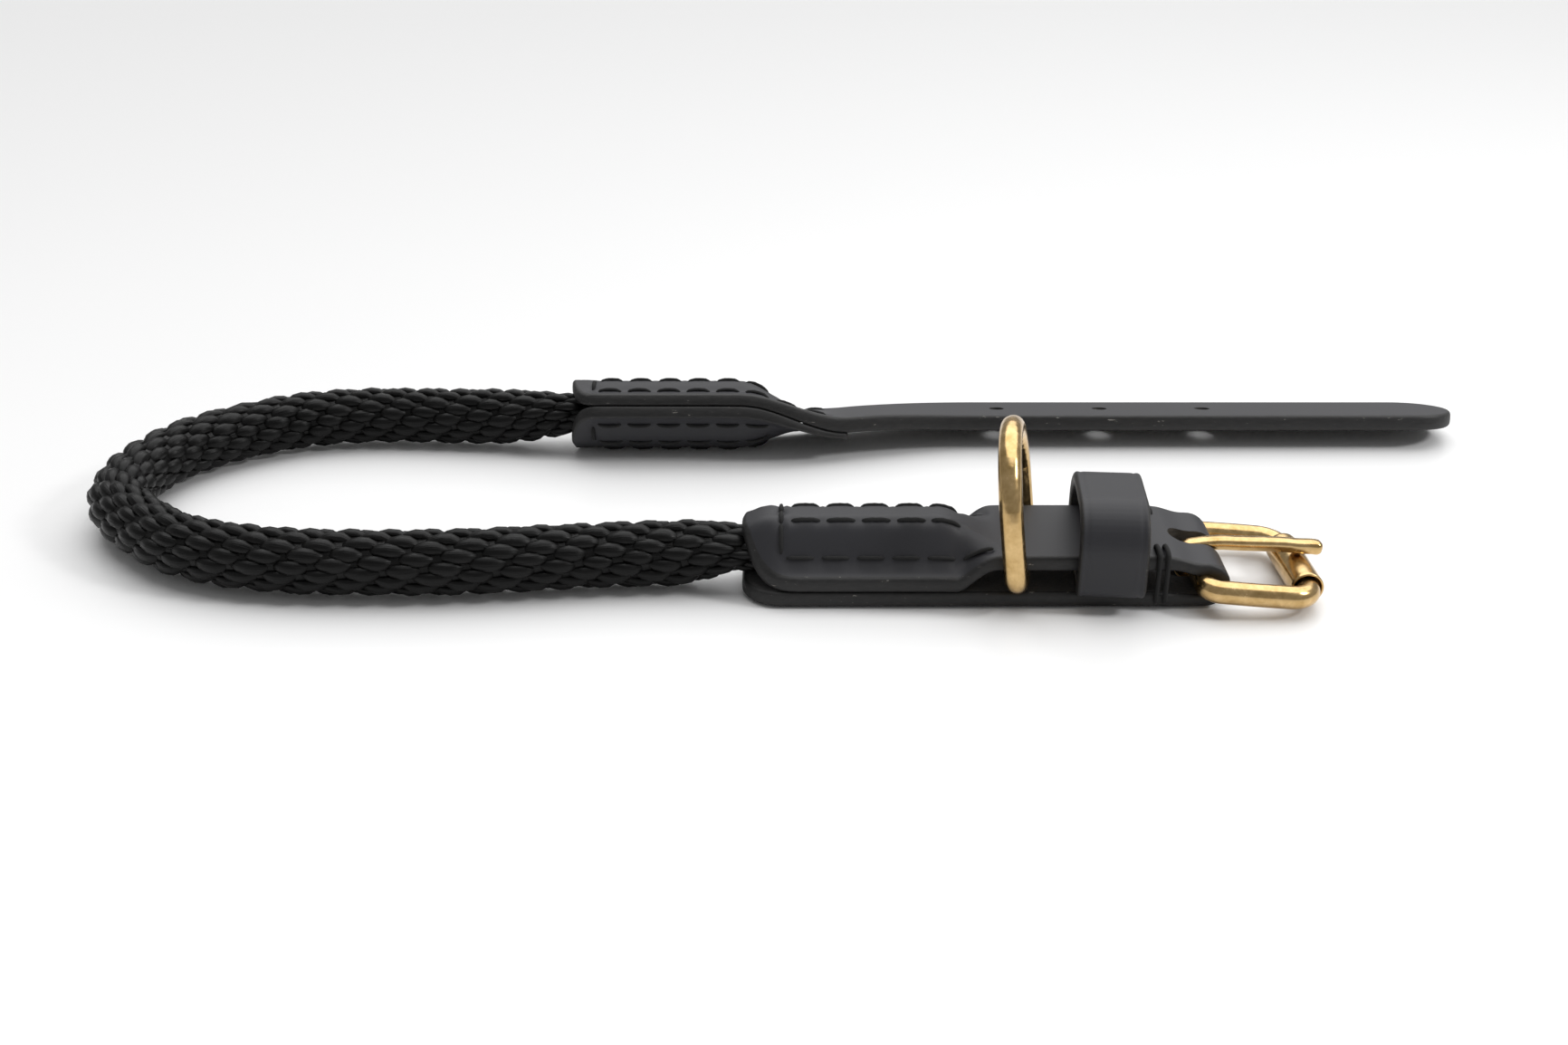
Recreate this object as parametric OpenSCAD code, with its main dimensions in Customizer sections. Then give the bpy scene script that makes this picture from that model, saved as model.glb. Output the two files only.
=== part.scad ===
// Rope and leather dog collar with a roller buckle, lying open in a long U.
// Millimetres. The origin is on the underside of the buckle strap, at mid-width, straight below the
// bar of the D-ring. +X runs towards the buckle, +Y towards the billet strap and +Z is up.

/* [Leather] */
// Width of both leather straps
strap_w = 20; // [16:0.5:25]
// Thickness of the buckle strap and of the backing
strap_t = 2.8; // [2.2:0.1:3.5]
// Thickness of the billet strap
billet_t = 3.3; // [2.6:0.1:4]
// Thickness of the skived leather that goes round the heel bar
fold_t = 2.3; // [1.8:0.1:2.7]
// Corner radius of the flaps' ends
flap_corner_r = 7; // [4:0.5:7.5]

/* [Rope] */
// Diameter of the rope
rope_d = 12.2; // [10:0.2:15]
// Height of the rope where it is pressed between two layers
press_h = 8.4; // [7:0.2:10.2]
// Width of the rope where it is pressed
press_w = 11.2; // [9:0.2:13]

/* [Buckle end] */
// From the D-ring's bar back to the flaps' ends
flap_reach = 50; // [42:1:60]
// From the D-ring's bar back to the rope's end
rope_stop = 8; // [7:0.5:14]
// From the D-ring's bar to the keeper loop
keeper_gap = 8.2; // [6.5:0.1:12]
// Length of the keeper loop along the strap
keeper_len = 12; // [9:0.5:15]
// Thickness of the keeper loop
keeper_t = 2.2; // [1.6:0.1:2.8]
// Height of the keeper loop above the ground
keeper_top = 19.1; // [16:0.1:24]
// From the keeper loop to the heel bar
heel_gap = 11; // [10:0.2:16]
// Width of the tongue's slot
slot_w = 4.6; // [4:0.1:6]

/* [Hardware] */
// Diameter of the brass wire
wire_d = 4.1; // [3.2:0.1:5]
// From the heel bar's axis to the roller's axis
frame_len = 18.4; // [15:0.2:24]
// Outer diameter of the roller
roller_d = 5.8; // [5.4:0.1:7]
// Clear height inside the D-ring
ring_in_h = 19.9; // [16:0.1:26]
// Width of the tongue
tongue_w = 3; // [2.4:0.1:3.4]
// Thickness of the tongue's shank
tongue_t = 2.6; // [1.8:0.1:3]

/* [Billet strap] */
// From the D-ring's bar to the tip of the billet strap, along X
tip_reach = 103.5; // [80:0.5:140]
// Distance from hole to hole
hole_pitch = 22.6; // [16:0.2:26]
// Diameter of the holes
hole_d = 3.3; // [2.8:0.1:4]
// Number of holes
hole_count = 3; // [1:1:4]

/* [Thread] */
// Diameter of the waxed thread
thread_d = 0.9; // [0.6:0.1:1.2]
// Distance from stitch to stitch
stitch_pitch = 6.2; // [4:0.1:8]
// Length of one stitch on the surface
stitch_len = 4.7; // [3:0.1:6]

/* [Hidden] */
$fn = 48;

// Fits and clearances
side_gap = 0.35;     // strap edge to the frame's side bars
ring_slack = 2;      // extra width inside the D-ring
keeper_slack = 0.6;  // strap edge to the keeper
pivot_fit = 0.08;    // radial, roller and tongue on their bars
fold_fit = 0.10;     // radial, heel bar in the fold
layer_gap = 0.1;     // between layers that only lie on each other
ring_play = 0.3;     // above the D-ring's bar
joint_gap = 0.3;     // round the flexing joints' knuckles
rest_gap = 0.1;      // tongue above the roller
weld = 0.05;         // overlap of pieces of one solid

half_w = strap_w / 2;
rope_r = rope_d / 2;
wire_r = wire_d / 2;
thread_r = thread_d / 2;

// Heights and places of the buckle end
ring_z = strap_t + layer_gap + ring_play + wire_r;
keeper_end = keeper_gap + keeper_len;
heel_x = keeper_end + heel_gap;
heel_z = fold_t + fold_fit + wire_r;
fold_r = wire_r + fold_fit + fold_t;
press_z = strap_t + press_h / 2;
ramp_len = 11;      // the top flap comes down from the rope to the D-ring over this length
ring_flat = wire_r + 2.6;
slot_back = 5.2;     // from the heel bar back to the slot's end

// Frame and D-ring
frame_half = half_w + side_gap + wire_r;
heel_corner_r = wire_r + 0.25;
outer_corner_r = wire_r + 1.95;
roller_z = roller_d / 2 + weld;
frame_tilt = asin((heel_z - roller_z) / frame_len);
roller_len = 2 * (frame_half - outer_corner_r) - 0.4;
ring_half = half_w + ring_slack / 2 + wire_r;
ring_h = ring_in_h + wire_d;
ring_corner_r = wire_r + 0.95;
ring_yaw = -10;
ring_lean = -7;
keeper_yaw = -4.5;   // the keeper's far side sits a little nearer the buckle
keeper_corner_r = min(8, (keeper_top - strap_t) / 2);   // its upper corners, limited by its height
tongue_loop_r = wire_r + pivot_fit + 2.1;

// Rear joint: X stations, and the middle line between its two layers
rear_start = -87.5;
rear_rope_end = -45;
rear_press = -39;
backing_end = -29;
flex_x = -25;
flat_x = 0;
rear_y = 65;
strap_y = 73.6;
rear_roll = 31;
rear_rope_z = 7.65;
lip_t = 2.6;         // both layers, skived where they hold the rope
rest_lift = rear_rope_z - half_w * sin(rear_roll) - lip_t * cos(rear_roll) - weld;
flex_roll = 14;
backing_tip_t = 1.2; // the backing is skived to this where it ends
strap_roll = 12;

// 0 before a, 1 after b, smooth between
function ease(v, a, b) =
    let (t = min(1, max(0, (v - a) / (b - a))))
    t * t * (3 - 2 * t);
function mix(a, b, t) = a + (b - a) * t;

// How far a point across the strap shares the rise over the pressed rope: 1 in the middle, 0 at the edges
function rise(v) = 1 - ease(abs(v), press_w / 2 - 3.2, half_w - 0.3);

// Underside of the buckle strap's top flap
function flap_crown(x) =
    let (
        over_rope = strap_t + press_h + layer_gap,
        over_ring = max(ring_z + wire_r + ring_play, strap_t + keeper_t + layer_gap),
        over_bar = heel_z + wire_r + fold_fit,
        a = mix(over_rope, over_ring, ease(x, -ring_flat - ramp_len, -ring_flat))
    )
    mix(a, over_bar, ease(x, keeper_end + 1.5, heel_x - wire_r - 0.3));
function flap_under(x, y) =
    let (loose = ease(x, -ring_flat - ramp_len, -ring_flat))
    mix(mix(strap_t - weld, flap_crown(x), rise(y)), flap_crown(x), loose);
function flap_top(x, y) = flap_under(x, y) + strap_t;

// Middle line of the rear joint and billet: place, height and roll (near edge up)
function rear_roll_at(x) =
    mix(mix(rear_roll, flex_roll, ease(x, -52, -28)), strap_roll, ease(x, flex_x, flat_x));
function rear_y_at(x) = mix(rear_y, strap_y, ease(x, rear_rope_end, flat_x));
function rear_z_at(x) =
    let (
        u = min(x, backing_end),
        a = rear_roll_at(u),
        low = half_w * sin(a) + lower_t(u) * cos(a) + weld + mix(rest_lift, 0, ease(u, -60, backing_end)),
        strap_z = half_w * sin(strap_roll) + weld
    )
    mix(low, strap_z, ease(x, backing_end, flat_x));
function rear_point(x, v, h) =
    let (a = rear_roll_at(x))
    [x, rear_y_at(x) + v * cos(a) + h * sin(a), rear_z_at(x) - v * sin(a) + h * cos(a)];
// Half of the space between the two layers: open over the rope, shut at the edges and past the rope
function rear_lift(x, v) = mix((press_h / 2 + layer_gap) * rise(v), 0, ease(x, rear_rope_end - 7, rear_press));
// Thickness of the two layers
function upper_t(x) = mix(lip_t, billet_t, ease(x, rear_rope_end - 4, backing_end));
function lower_t(x) = mix(lip_t, backing_tip_t, ease(x, rear_rope_end - 4, backing_end));

// Closed slab over a grid: points(i, j, side), side 0 is the lower face and 1 the upper
module slab(ni, nj, points) {
    n = (ni + 1) * (nj + 1);
    at = function (i, j, s) s * n + i * (nj + 1) + j;
    polyhedron(
        points = [for (s = [0, 1]) for (i = [0 : ni]) for (j = [0 : nj]) points(i, j, s)],
        faces = concat(
            [for (i = [0 : ni - 1]) for (j = [0 : nj - 1]) each [
                [at(i, j, 1), at(i, j + 1, 1), at(i + 1, j + 1, 1)],
                [at(i, j, 1), at(i + 1, j + 1, 1), at(i + 1, j, 1)],
                [at(i, j, 0), at(i + 1, j, 0), at(i + 1, j + 1, 0)],
                [at(i, j, 0), at(i + 1, j + 1, 0), at(i, j + 1, 0)]
            ]],
            [for (i = [0 : ni - 1]) each [
                [at(i, 0, 0), at(i, 0, 1), at(i + 1, 0, 1)],
                [at(i, 0, 0), at(i + 1, 0, 1), at(i + 1, 0, 0)],
                [at(i, nj, 0), at(i + 1, nj, 0), at(i + 1, nj, 1)],
                [at(i, nj, 0), at(i + 1, nj, 1), at(i, nj, 1)]
            ]],
            [for (j = [0 : nj - 1]) each [
                [at(0, j, 0), at(0, j + 1, 0), at(0, j + 1, 1)],
                [at(0, j, 0), at(0, j + 1, 1), at(0, j, 1)],
                [at(ni, j, 0), at(ni, j, 1), at(ni, j + 1, 1)],
                [at(ni, j, 0), at(ni, j + 1, 1), at(ni, j + 1, 0)]
            ]]
        ),
        convexity = 8
    );
}

// Flat strap outline from x0 to x1, both corners at x0 rounded
module strap_outline(x0, x1, w, r) {
    translate([x0 + r, -w / 2]) square([x1 - x0 - r, w]);
    translate([x0, -w / 2 + r]) square([2 * r, w - 2 * r + 0.001]);
    for (s = [-1, 1]) translate([x0 + r, s * (w / 2 - r)]) circle(r);
}

// One stitch from point a to point b
module stitch(a, b) {
    d = b - a;
    translate(a) rotate([0, acos(d.z / norm(d)), atan2(d.y, d.x)]) cylinder(h = norm(d), r = thread_r);
}

// ---- Rope -------------------------------------------------------------------------------------
// Each point: x, y, z, half width, half height, roll of the section
rope_front_route = [
    [-rope_stop, 0, strap_t + 2.9, press_w / 2 - 0.8, 2.8, 0],
    [-rope_stop - 6, 0, press_z, press_w / 2, press_h / 2, 0],
    [-30, 0, press_z, press_w / 2, press_h / 2, 0],
    [-flap_reach + 3, 0, press_z, press_w / 2, press_h / 2, 0],
    [-flap_reach - 2, -0.1, press_z, press_w / 2 + 0.2, press_h / 2 + 0.3, 0],
    [-flap_reach - 7, -0.3, rope_r + 0.6, rope_r - 0.2, rope_r - 0.4, 0],
    [-flap_reach - 13, -0.5, rope_r, rope_r, rope_r, 0],
    [-76, -1.3, rope_r, rope_r, rope_r, 0],
    [-89, -2.9, rope_r, rope_r, rope_r, 0],
    [-102, -4.2, rope_r, rope_r, rope_r, 0],
    [-114, -4.4, rope_r, rope_r, rope_r, 0],
    [-127, -4, rope_r, rope_r, rope_r, 0],
    [-140, -1.8, rope_r, rope_r, rope_r, 0],
    [-152, 3, rope_r, rope_r, rope_r, 0],
    [-161.5, 11, rope_r, rope_r, rope_r, 0],
    [-168.5, 19.5, rope_r, rope_r, rope_r, 0],
    [-171, 28, rope_r, rope_r, rope_r, 0]
];
rope_rear_route = [
    [-171, 28, rope_r, rope_r, rope_r, 0],
    [-170.5, 38.5, rope_r, rope_r, rope_r, 0],
    [-166.5, 48.5, rope_r, rope_r, rope_r, 0],
    [-159.5, 56.5, rope_r, rope_r, rope_r, 0],
    [-152, 62, rope_r, rope_r, rope_r, 0],
    [-144, 66, rope_r, rope_r, rope_r, 0],
    [-130, 68.4, rope_r, rope_r, rope_r, 0],
    [-114, 67.8, rope_r, rope_r, rope_r, 0],
    [-102, 66.6, rope_r + 0.4, rope_r, rope_r, 10],
    [-93, 65.8, 7.2, rope_r - 0.2, rope_r - 0.9, 24],
    [-87, 65.2, rear_rope_z, press_w / 2 + 0.1, press_h / 2 + 0.2, rear_roll],
    [-80, rear_y, rear_rope_z, press_w / 2, press_h / 2, rear_roll],
    [-62, rear_y, rear_rope_z, press_w / 2, press_h / 2, rear_roll],
    [rear_rope_end - 7, rear_y, rear_rope_z - 0.1, press_w / 2, press_h / 2 - 0.1, rear_roll],
    [rear_rope_end, rear_y + 0.1, rear_rope_z - 0.65, press_w / 2 - 1.2, 2, rear_roll - 3.5]
];
rope_hinge = [-171, 28];
rope_sides = 12;

// Direction of a route in plan at point k
function heading(route, k) =
    let (
        a = route[max(0, k - 1)],
        b = route[min(len(route) - 1, k + 1)],
        d = [b.x - a.x, b.y - a.y]
    )
    d / norm(d);

// Tube of elliptical rings along a route
module rope_tube(route) {
    n = rope_sides;
    rings = len(route);
    points = [
        for (k = [0 : rings - 1])
            let (p = route[k], d = heading(route, k), side = [-d.y, d.x])
            for (i = [0 : n - 1])
                let (
                    a = 360 * i / n,
                    u = p[3] * cos(a),
                    h = p[4] * sin(a),
                    turn = p[5] * (d.x > 0 ? 1 : -1),
                    across = u * cos(turn) + h * sin(turn),
                    up = -u * sin(turn) + h * cos(turn)
                )
                [p.x + side.x * across, p.y + side.y * across, p.z + up]
    ];
    faces = concat(
        [[for (i = [0 : n - 1]) i]],
        [[for (i = [0 : n - 1]) (rings - 1) * n + n - 1 - i]],
        [for (k = [0 : rings - 2]) for (i = [0 : n - 1])
            [k * n + i, (k + 1) * n + i, (k + 1) * n + (i + 1) % n, k * n + (i + 1) % n]]
    );
    polyhedron(points = points, faces = faces, convexity = 10);
}

module rope_buckle_half() {
    color("#141414") {
        rope_tube(rope_front_route);
        translate([rope_hinge.x, rope_hinge.y, 0.4]) cylinder(h = rope_d - 0.8, r = rope_r);
    }
}

module rope_billet_half() {
    color("#141414") difference() {
        rope_tube(rope_rear_route);
        translate([rope_hinge.x, rope_hinge.y, -1]) cylinder(h = rope_d + 2, r = rope_r + joint_gap);
    }
}

// ---- Buckle end -------------------------------------------------------------------------------
module buckle_strap() {
    thin_x = heel_x - wire_r - 1.4;
    flap_steps = 48;
    across_steps = 14;
    color("#1c1c1d") difference() {
        union() {
            // Bottom flap, skived towards the fold
            intersection() {
                translate([0, half_w, 0]) rotate([90, 0, 0]) linear_extrude(strap_w) polygon([
                    [-flap_reach, 0],
                    [heel_x, 0],
                    [heel_x, fold_t],
                    [thin_x, fold_t],
                    [thin_x - 3, strap_t],
                    [-flap_reach, strap_t]
                ]);
                translate([0, 0, -1]) linear_extrude(strap_t + 2)
                    strap_outline(-flap_reach, heel_x + 1, strap_w, flap_corner_r);
            }
            // Fold round the heel bar
            translate([heel_x, half_w, heel_z]) rotate([90, 0, 0]) linear_extrude(strap_w) difference() {
                circle(fold_r);
                circle(wire_r + fold_fit);
                translate([-2 * fold_r, -fold_r]) square([2 * fold_r, 2 * fold_r]);
            }
            // Top flap, over the rope, the D-ring's bar and the keeper's lower run
            intersection() {
                slab(flap_steps, across_steps, function (i, j, s)
                    let (
                        x = mix(-flap_reach, heel_x + weld, i / flap_steps),
                        y = mix(-half_w, half_w, j / across_steps),
                        t = mix(strap_t, fold_t, ease(x, thin_x - 3, thin_x))
                    )
                    [x, y, flap_under(x, y) + s * t]
                );
                linear_extrude(40) strap_outline(-flap_reach, heel_x + 1, strap_w, flap_corner_r);
            }
        }
        translate([0, 0, -1]) linear_extrude(3 * fold_r)
            strap_outline(heel_x - slot_back, heel_x + 2 * fold_r, slot_w, slot_w / 2);
    }
}

// Upright outline with small lower and large upper corners
module keeper_outline(w, z0, z1, low_r, high_r) {
    translate([-w / 2 + high_r, z0]) square([w - 2 * high_r, z1 - z0]);
    translate([-w / 2, z0 + low_r]) square([w, z1 - high_r - z0 - low_r]);
    translate([-w / 2 + low_r, z0]) square([w - 2 * low_r, 2 * low_r]);
    for (s = [-1, 1]) {
        translate([s * (w / 2 - low_r), z0 + low_r]) circle(low_r);
        translate([s * (w / 2 - high_r), z1 - high_r]) circle(high_r);
    }
}

module keeper_loop() {
    in_w = strap_w + 2 * keeper_slack;
    near = in_w / 2 + keeper_t;
    color("#1c1c1d")
        translate([keeper_gap, -near, 0]) rotate([0, 0, keeper_yaw]) translate([0, near, 0])
            rotate([90, 0, 90]) linear_extrude(keeper_len) difference() {
            keeper_outline(in_w + 2 * keeper_t, strap_t, keeper_top, keeper_t, keeper_corner_r);
            keeper_outline(in_w, strap_t + keeper_t, keeper_top - keeper_t, 0.6, keeper_corner_r - keeper_t);
        }
}

// Quarter or half turn of wire, centred at c in the XY plane, bend radius r, from angle a0 over sweep
module wire_bend(c, r, a0, sweep) {
    translate([c.x, c.y, 0]) rotate([0, 0, a0])
        rotate_extrude(angle = sweep) translate([r, 0]) circle(wire_r, $fn = 32);
}

// Straight wire in the XY plane
module wire_bar(a, b) {
    d = b - a;
    translate([a.x, a.y, 0]) rotate([0, 90, atan2(d.y, d.x)]) cylinder(h = norm(d), r = wire_r);
}

module dee_ring() {
    c = ring_half;
    r = ring_corner_r;
    top = ring_h - c;
    color("#c9a04e")
        translate([0, 0, ring_z]) rotate([0, 0, ring_yaw]) rotate([0, ring_lean, 0]) rotate([90, 0, 90]) {
            wire_bar([-c + r, 0], [c - r, 0]);
            wire_bend([c - r, r], r, -90, 90);
            wire_bend([-c + r, r], r, 180, 90);
            for (s = [-1, 1]) wire_bar([s * c, r], [s * c, top]);
            wire_bend([0, top], c, 0, 180);
        }
}

module buckle_frame() {
    c = frame_half;
    h = heel_corner_r;
    o = outer_corner_r;
    color("#c9a04e")
        translate([heel_x, 0, heel_z]) rotate([0, frame_tilt, 0]) {
            wire_bar([0, -c + h], [0, c - h]);
            wire_bend([h, c - h], h, 90, 90);
            wire_bend([h, -c + h], h, 180, 90);
            for (s = [-1, 1]) wire_bar([h, s * c], [frame_len - o, s * c]);
            wire_bend([frame_len - o, c - o], o, 0, 90);
            wire_bend([frame_len - o, -c + o], o, -90, 90);
            wire_bar([frame_len, -c + o], [frame_len, c - o]);
        }
}

module buckle_roller() {
    color("#c9a04e")
        translate([heel_x, 0, heel_z]) rotate([0, frame_tilt, 0])
            translate([frame_len, roller_len / 2, 0]) rotate([90, 0, 0]) difference() {
                cylinder(h = roller_len, r = roller_d / 2);
                translate([0, 0, -1]) cylinder(h = roller_len + 2, r = wire_r + pivot_fit);
            }
}

module buckle_tongue() {
    roller_x = frame_len * cos(frame_tilt);
    rest = roller_z + roller_d / 2 + rest_gap - heel_z + tongue_t / 2;
    line = [
        [0, tongue_loop_r - tongue_t / 2 + 0.4],
        [3, tongue_loop_r - tongue_t / 2 + 0.6],
        [8, tongue_loop_r - tongue_t / 2 + 0.4],
        [roller_x - 3, rest + 0.3],
        [roller_x, rest],
        [roller_x + 4, rest - 0.3]
    ];
    n = len(line);
    color("#c9a04e")
        translate([heel_x, tongue_w / 2, heel_z]) rotate([90, 0, 0]) {
            difference() {
                union() {
                    cylinder(h = tongue_w, r = tongue_loop_r);
                    linear_extrude(tongue_w) polygon(concat(
                        [for (p = line) p + [0, tongue_t / 2]],
                        [for (k = [n - 1 : -1 : 0]) line[k] - [0, tongue_t / 2]]
                    ));
                    translate(line[n - 1]) cylinder(h = tongue_w, r = tongue_t / 2);
                }
                translate([0, 0, -1]) cylinder(h = tongue_w + 2, r = wire_r + pivot_fit);
            }
        }
}

// ---- Billet end -------------------------------------------------------------------------------
// Rounds the left ends of both rear layers
module rear_trim() {
    translate([0, rear_y, rear_rope_z]) rotate([-rear_roll, 0, 0]) translate([0, 0, -20]) linear_extrude(40) {
        strap_outline(rear_start, -50, strap_w + 2 * weld, flap_corner_r);
        translate([-60, -2 * strap_w]) square([60, 4 * strap_w]);
    }
}

module billet_root() {
    steps = 40;
    color("#1c1c1d") {
        intersection() {
            slab(steps, 14, function (i, j, s)
                let (
                    x = mix(rear_start, flex_x, i / steps),
                    v = mix(-half_w, half_w, j / 14)
                )
                rear_point(x, v, rear_lift(x, v) + s * upper_t(x))
            );
            rear_trim();
        }
        flex_knuckle();
    }
}

// Round bar across the billet strap, where it flexes
module flex_knuckle() {
    c = rear_point(flex_x, 0, billet_t / 2);
    translate(c) rotate([90 - flex_roll, 0, 0]) translate([0, 0, -half_w + weld])
        cylinder(h = strap_w - 2 * weld, r = billet_t / 2 - weld);
}

module billet_backing() {
    steps = 40;
    color("#1c1c1d") intersection() {
        slab(steps, 14, function (i, j, s)
            let (
                x = mix(rear_start, backing_end, i / steps),
                v = mix(-half_w, half_w, j / 14)
            )
            rear_point(x, v, -rear_lift(x, v) - layer_gap - (1 - s) * (lower_t(x) - layer_gap))
        );
        rear_trim();
    }
}

// The billet strap's flat run, in its own plane
module billet_flat() {
    first_hole = 4.2;
    linear_extrude(billet_t) difference() {
        mirror([1, 0]) strap_outline(-tip_reach, -flat_x + weld, strap_w, half_w - 0.01);
        for (k = [0 : hole_count - 1]) translate([first_hole + k * hole_pitch, 0]) circle(hole_d / 2);
    }
}

module billet_strap() {
    steps = 14;
    skin = 0.02;     // the twisted run sits this far inside the flat run's faces
    color("#1c1c1d") difference() {
        union() {
            slab(steps, 2, function (i, j, s)
                let (x = mix(flex_x, flat_x + weld, i / steps))
                rear_point(x, mix(weld - half_w, half_w - weld, j / 2), mix(skin, billet_t - skin, s))
            );
            translate(rear_point(flat_x, 0, 0) - [flat_x, 0, 0]) rotate([-strap_roll, 0, 0]) billet_flat();
        }
        knuckle_cut();
    }
}

// Room round the knuckle, a little longer than the strap is wide
module knuckle_cut() {
    c = rear_point(flex_x, 0, billet_t / 2);
    translate(c) rotate([90 - flex_roll, 0, 0]) translate([0, 0, -strap_w])
        cylinder(h = 2 * strap_w, r = billet_t / 2 + joint_gap);
}

// ---- Thread -----------------------------------------------------------------------------------
edge_row = 7;        // rows by the straps' edges, from the middle
rope_row = 3.1;      // rows through the rope, from the middle
row_start = -flap_reach + 7;
row_count = 5;

module front_row(y, first, count) {
    color("#0d0d0d") for (k = [0 : count - 1]) {
        x = first + k * stitch_pitch;
        stitch([x, y, flap_top(x, y)], [x + stitch_len, y, flap_top(x + stitch_len, y)]);
    }
}

module front_near_stitches() {
    front_row(-edge_row, row_start + 1, row_count + 1);
}

module front_middle_stitches() {
    front_row(-rope_row, row_start + 2, row_count);
}

module front_crest_stitches() {
    front_row(rope_row, row_start + 2, row_count);
}

module front_far_stitches() {
    front_row(edge_row, row_start + 1, row_count + 1);
}

// Thread across the flap, joining the ends of the rows
module front_cross_stitches() {
    count = 4;
    step = 2 * edge_row / count;
    color("#0d0d0d") for (k = [0 : count - 1]) {
        y = -edge_row + k * step + 0.4;
        stitch(
            [row_start, y, flap_top(row_start, y)],
            [row_start, y + step - 0.8, flap_top(row_start, y + step - 0.8)]
        );
    }
}

// Thread that wraps both flaps' edges between the keeper and the buckle
module fold_stitches() {
    low = strap_t / 2;
    out = half_w + thread_r / 2;
    first = keeper_end - strap_w * sin(keeper_yaw) + 0.9;
    color("#0d0d0d") for (s = [-1, 1]) for (x = [first, first + 1.5]) {
        high = flap_top(x, half_w);
        stitch([x, s * out, low], [x, s * out, high - 0.5]);
        stitch([x, s * (out - 0.2), high], [x, s * (half_w - 4), high]);
    }
}

rear_row_start = rear_start + 6;
rear_row_count = 6;
rear_rows = [-edge_row, -rope_row, rope_row, edge_row];

function rear_top(x, v) = rear_point(x, v, rear_lift(x, v) + upper_t(x));
function rear_bottom(x, v) = rear_point(x, v, -rear_lift(x, v) - lower_t(x));

module rear_upper_stitches() {
    color("#0d0d0d") for (v = rear_rows) for (k = [0 : rear_row_count - 1]) {
        x = rear_row_start + k * stitch_pitch;
        stitch(rear_top(x, v), rear_top(x + stitch_len, v));
    }
}

module rear_lower_stitches() {
    color("#0d0d0d") for (v = rear_rows) for (k = [0 : rear_row_count - 1]) {
        x = rear_row_start + k * stitch_pitch;
        stitch(rear_bottom(x, v), rear_bottom(x + stitch_len, v));
    }
}

// Hooks that join the rows' ends round the rope, on both layers
module rear_hook_stitches() {
    x = rear_row_start - 1.2;
    color("#0d0d0d") for (s = [-1, 1]) {
        from = s * edge_row - s * 0.6;
        to = s * rope_row + s * 0.6;
        stitch(rear_top(x, from), rear_top(x, to));
        stitch(rear_bottom(x, from), rear_bottom(x, to));
    }
}

// Rows that close the two layers past the rope's end
module rear_end_stitches() {
    first = rear_row_start + rear_row_count * stitch_pitch;
    color("#0d0d0d") for (s = [-1, 1]) for (k = [0 : 1]) {
        x = first + k * stitch_pitch;
        stitch(rear_top(x, s * edge_row), rear_top(x + stitch_len, s * edge_row));
    }
}

rope_buckle_half();
rope_billet_half();
buckle_strap();
keeper_loop();
dee_ring();
buckle_frame();
buckle_tongue();
buckle_roller();
billet_root();
billet_backing();
billet_strap();
front_near_stitches();
front_middle_stitches();
front_crest_stitches();
front_far_stitches();
front_cross_stitches();
fold_stitches();
rear_upper_stitches();
rear_lower_stitches();
rear_hook_stitches();
rear_end_stitches();
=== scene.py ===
"""Dog collar of braided rope and bridle leather, with a brass roller buckle and a D-ring.

The strap at the buckle end folds round the buckle's heel bar and grips the rope's end between its two layers. The
billet strap and its backing grip the other end. The keeper loop and the D-ring's bar sit between the front layers.
"""
import logging
from dataclasses import dataclass, field
from enum import Enum
from math import radians
from typing import Any, Callable, Sequence

import bmesh
import bpy
import numpy as np
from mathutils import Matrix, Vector
from numpy.typing import NDArray


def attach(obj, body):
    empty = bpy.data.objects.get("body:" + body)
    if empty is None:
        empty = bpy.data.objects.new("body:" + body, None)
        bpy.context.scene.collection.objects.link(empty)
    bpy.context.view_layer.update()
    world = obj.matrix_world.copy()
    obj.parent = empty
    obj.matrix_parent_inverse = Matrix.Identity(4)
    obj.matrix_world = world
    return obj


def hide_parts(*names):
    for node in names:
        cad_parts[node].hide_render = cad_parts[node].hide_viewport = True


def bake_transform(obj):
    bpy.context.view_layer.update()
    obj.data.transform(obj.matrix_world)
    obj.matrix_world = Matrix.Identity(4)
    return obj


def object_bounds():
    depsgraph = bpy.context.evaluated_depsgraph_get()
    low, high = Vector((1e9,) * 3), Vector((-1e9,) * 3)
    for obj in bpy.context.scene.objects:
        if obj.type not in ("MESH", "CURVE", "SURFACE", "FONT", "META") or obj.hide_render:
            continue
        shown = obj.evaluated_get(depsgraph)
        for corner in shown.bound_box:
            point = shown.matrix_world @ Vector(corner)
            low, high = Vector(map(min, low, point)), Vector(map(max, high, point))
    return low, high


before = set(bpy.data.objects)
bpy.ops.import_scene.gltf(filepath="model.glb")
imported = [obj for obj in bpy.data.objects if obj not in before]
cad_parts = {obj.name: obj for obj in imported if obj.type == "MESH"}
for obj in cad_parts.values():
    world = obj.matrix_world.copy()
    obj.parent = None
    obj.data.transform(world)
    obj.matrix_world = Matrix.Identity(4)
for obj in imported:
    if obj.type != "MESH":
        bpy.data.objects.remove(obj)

Array = NDArray[np.float64]
Place = Callable[[Array, Array, Array], Array]

MM = 0.001
WELD_M = 3e-6  # points closer than this are one point
CAD_BOX = [list(map(float, corner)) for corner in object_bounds()]
log = logging.getLogger("collar")


# ---- Numbers ------------------------------------------------------------------------------------------------------


def ease(v: Array | float, a: float, b: float) -> Array:
    """Return 0 before a, 1 after b, and the smooth step 3t^2 - 2t^3 between them."""
    t = np.clip((np.asarray(v, dtype=float) - a) / (b - a), 0.0, 1.0)
    return t * t * (3.0 - 2.0 * t)


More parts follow.
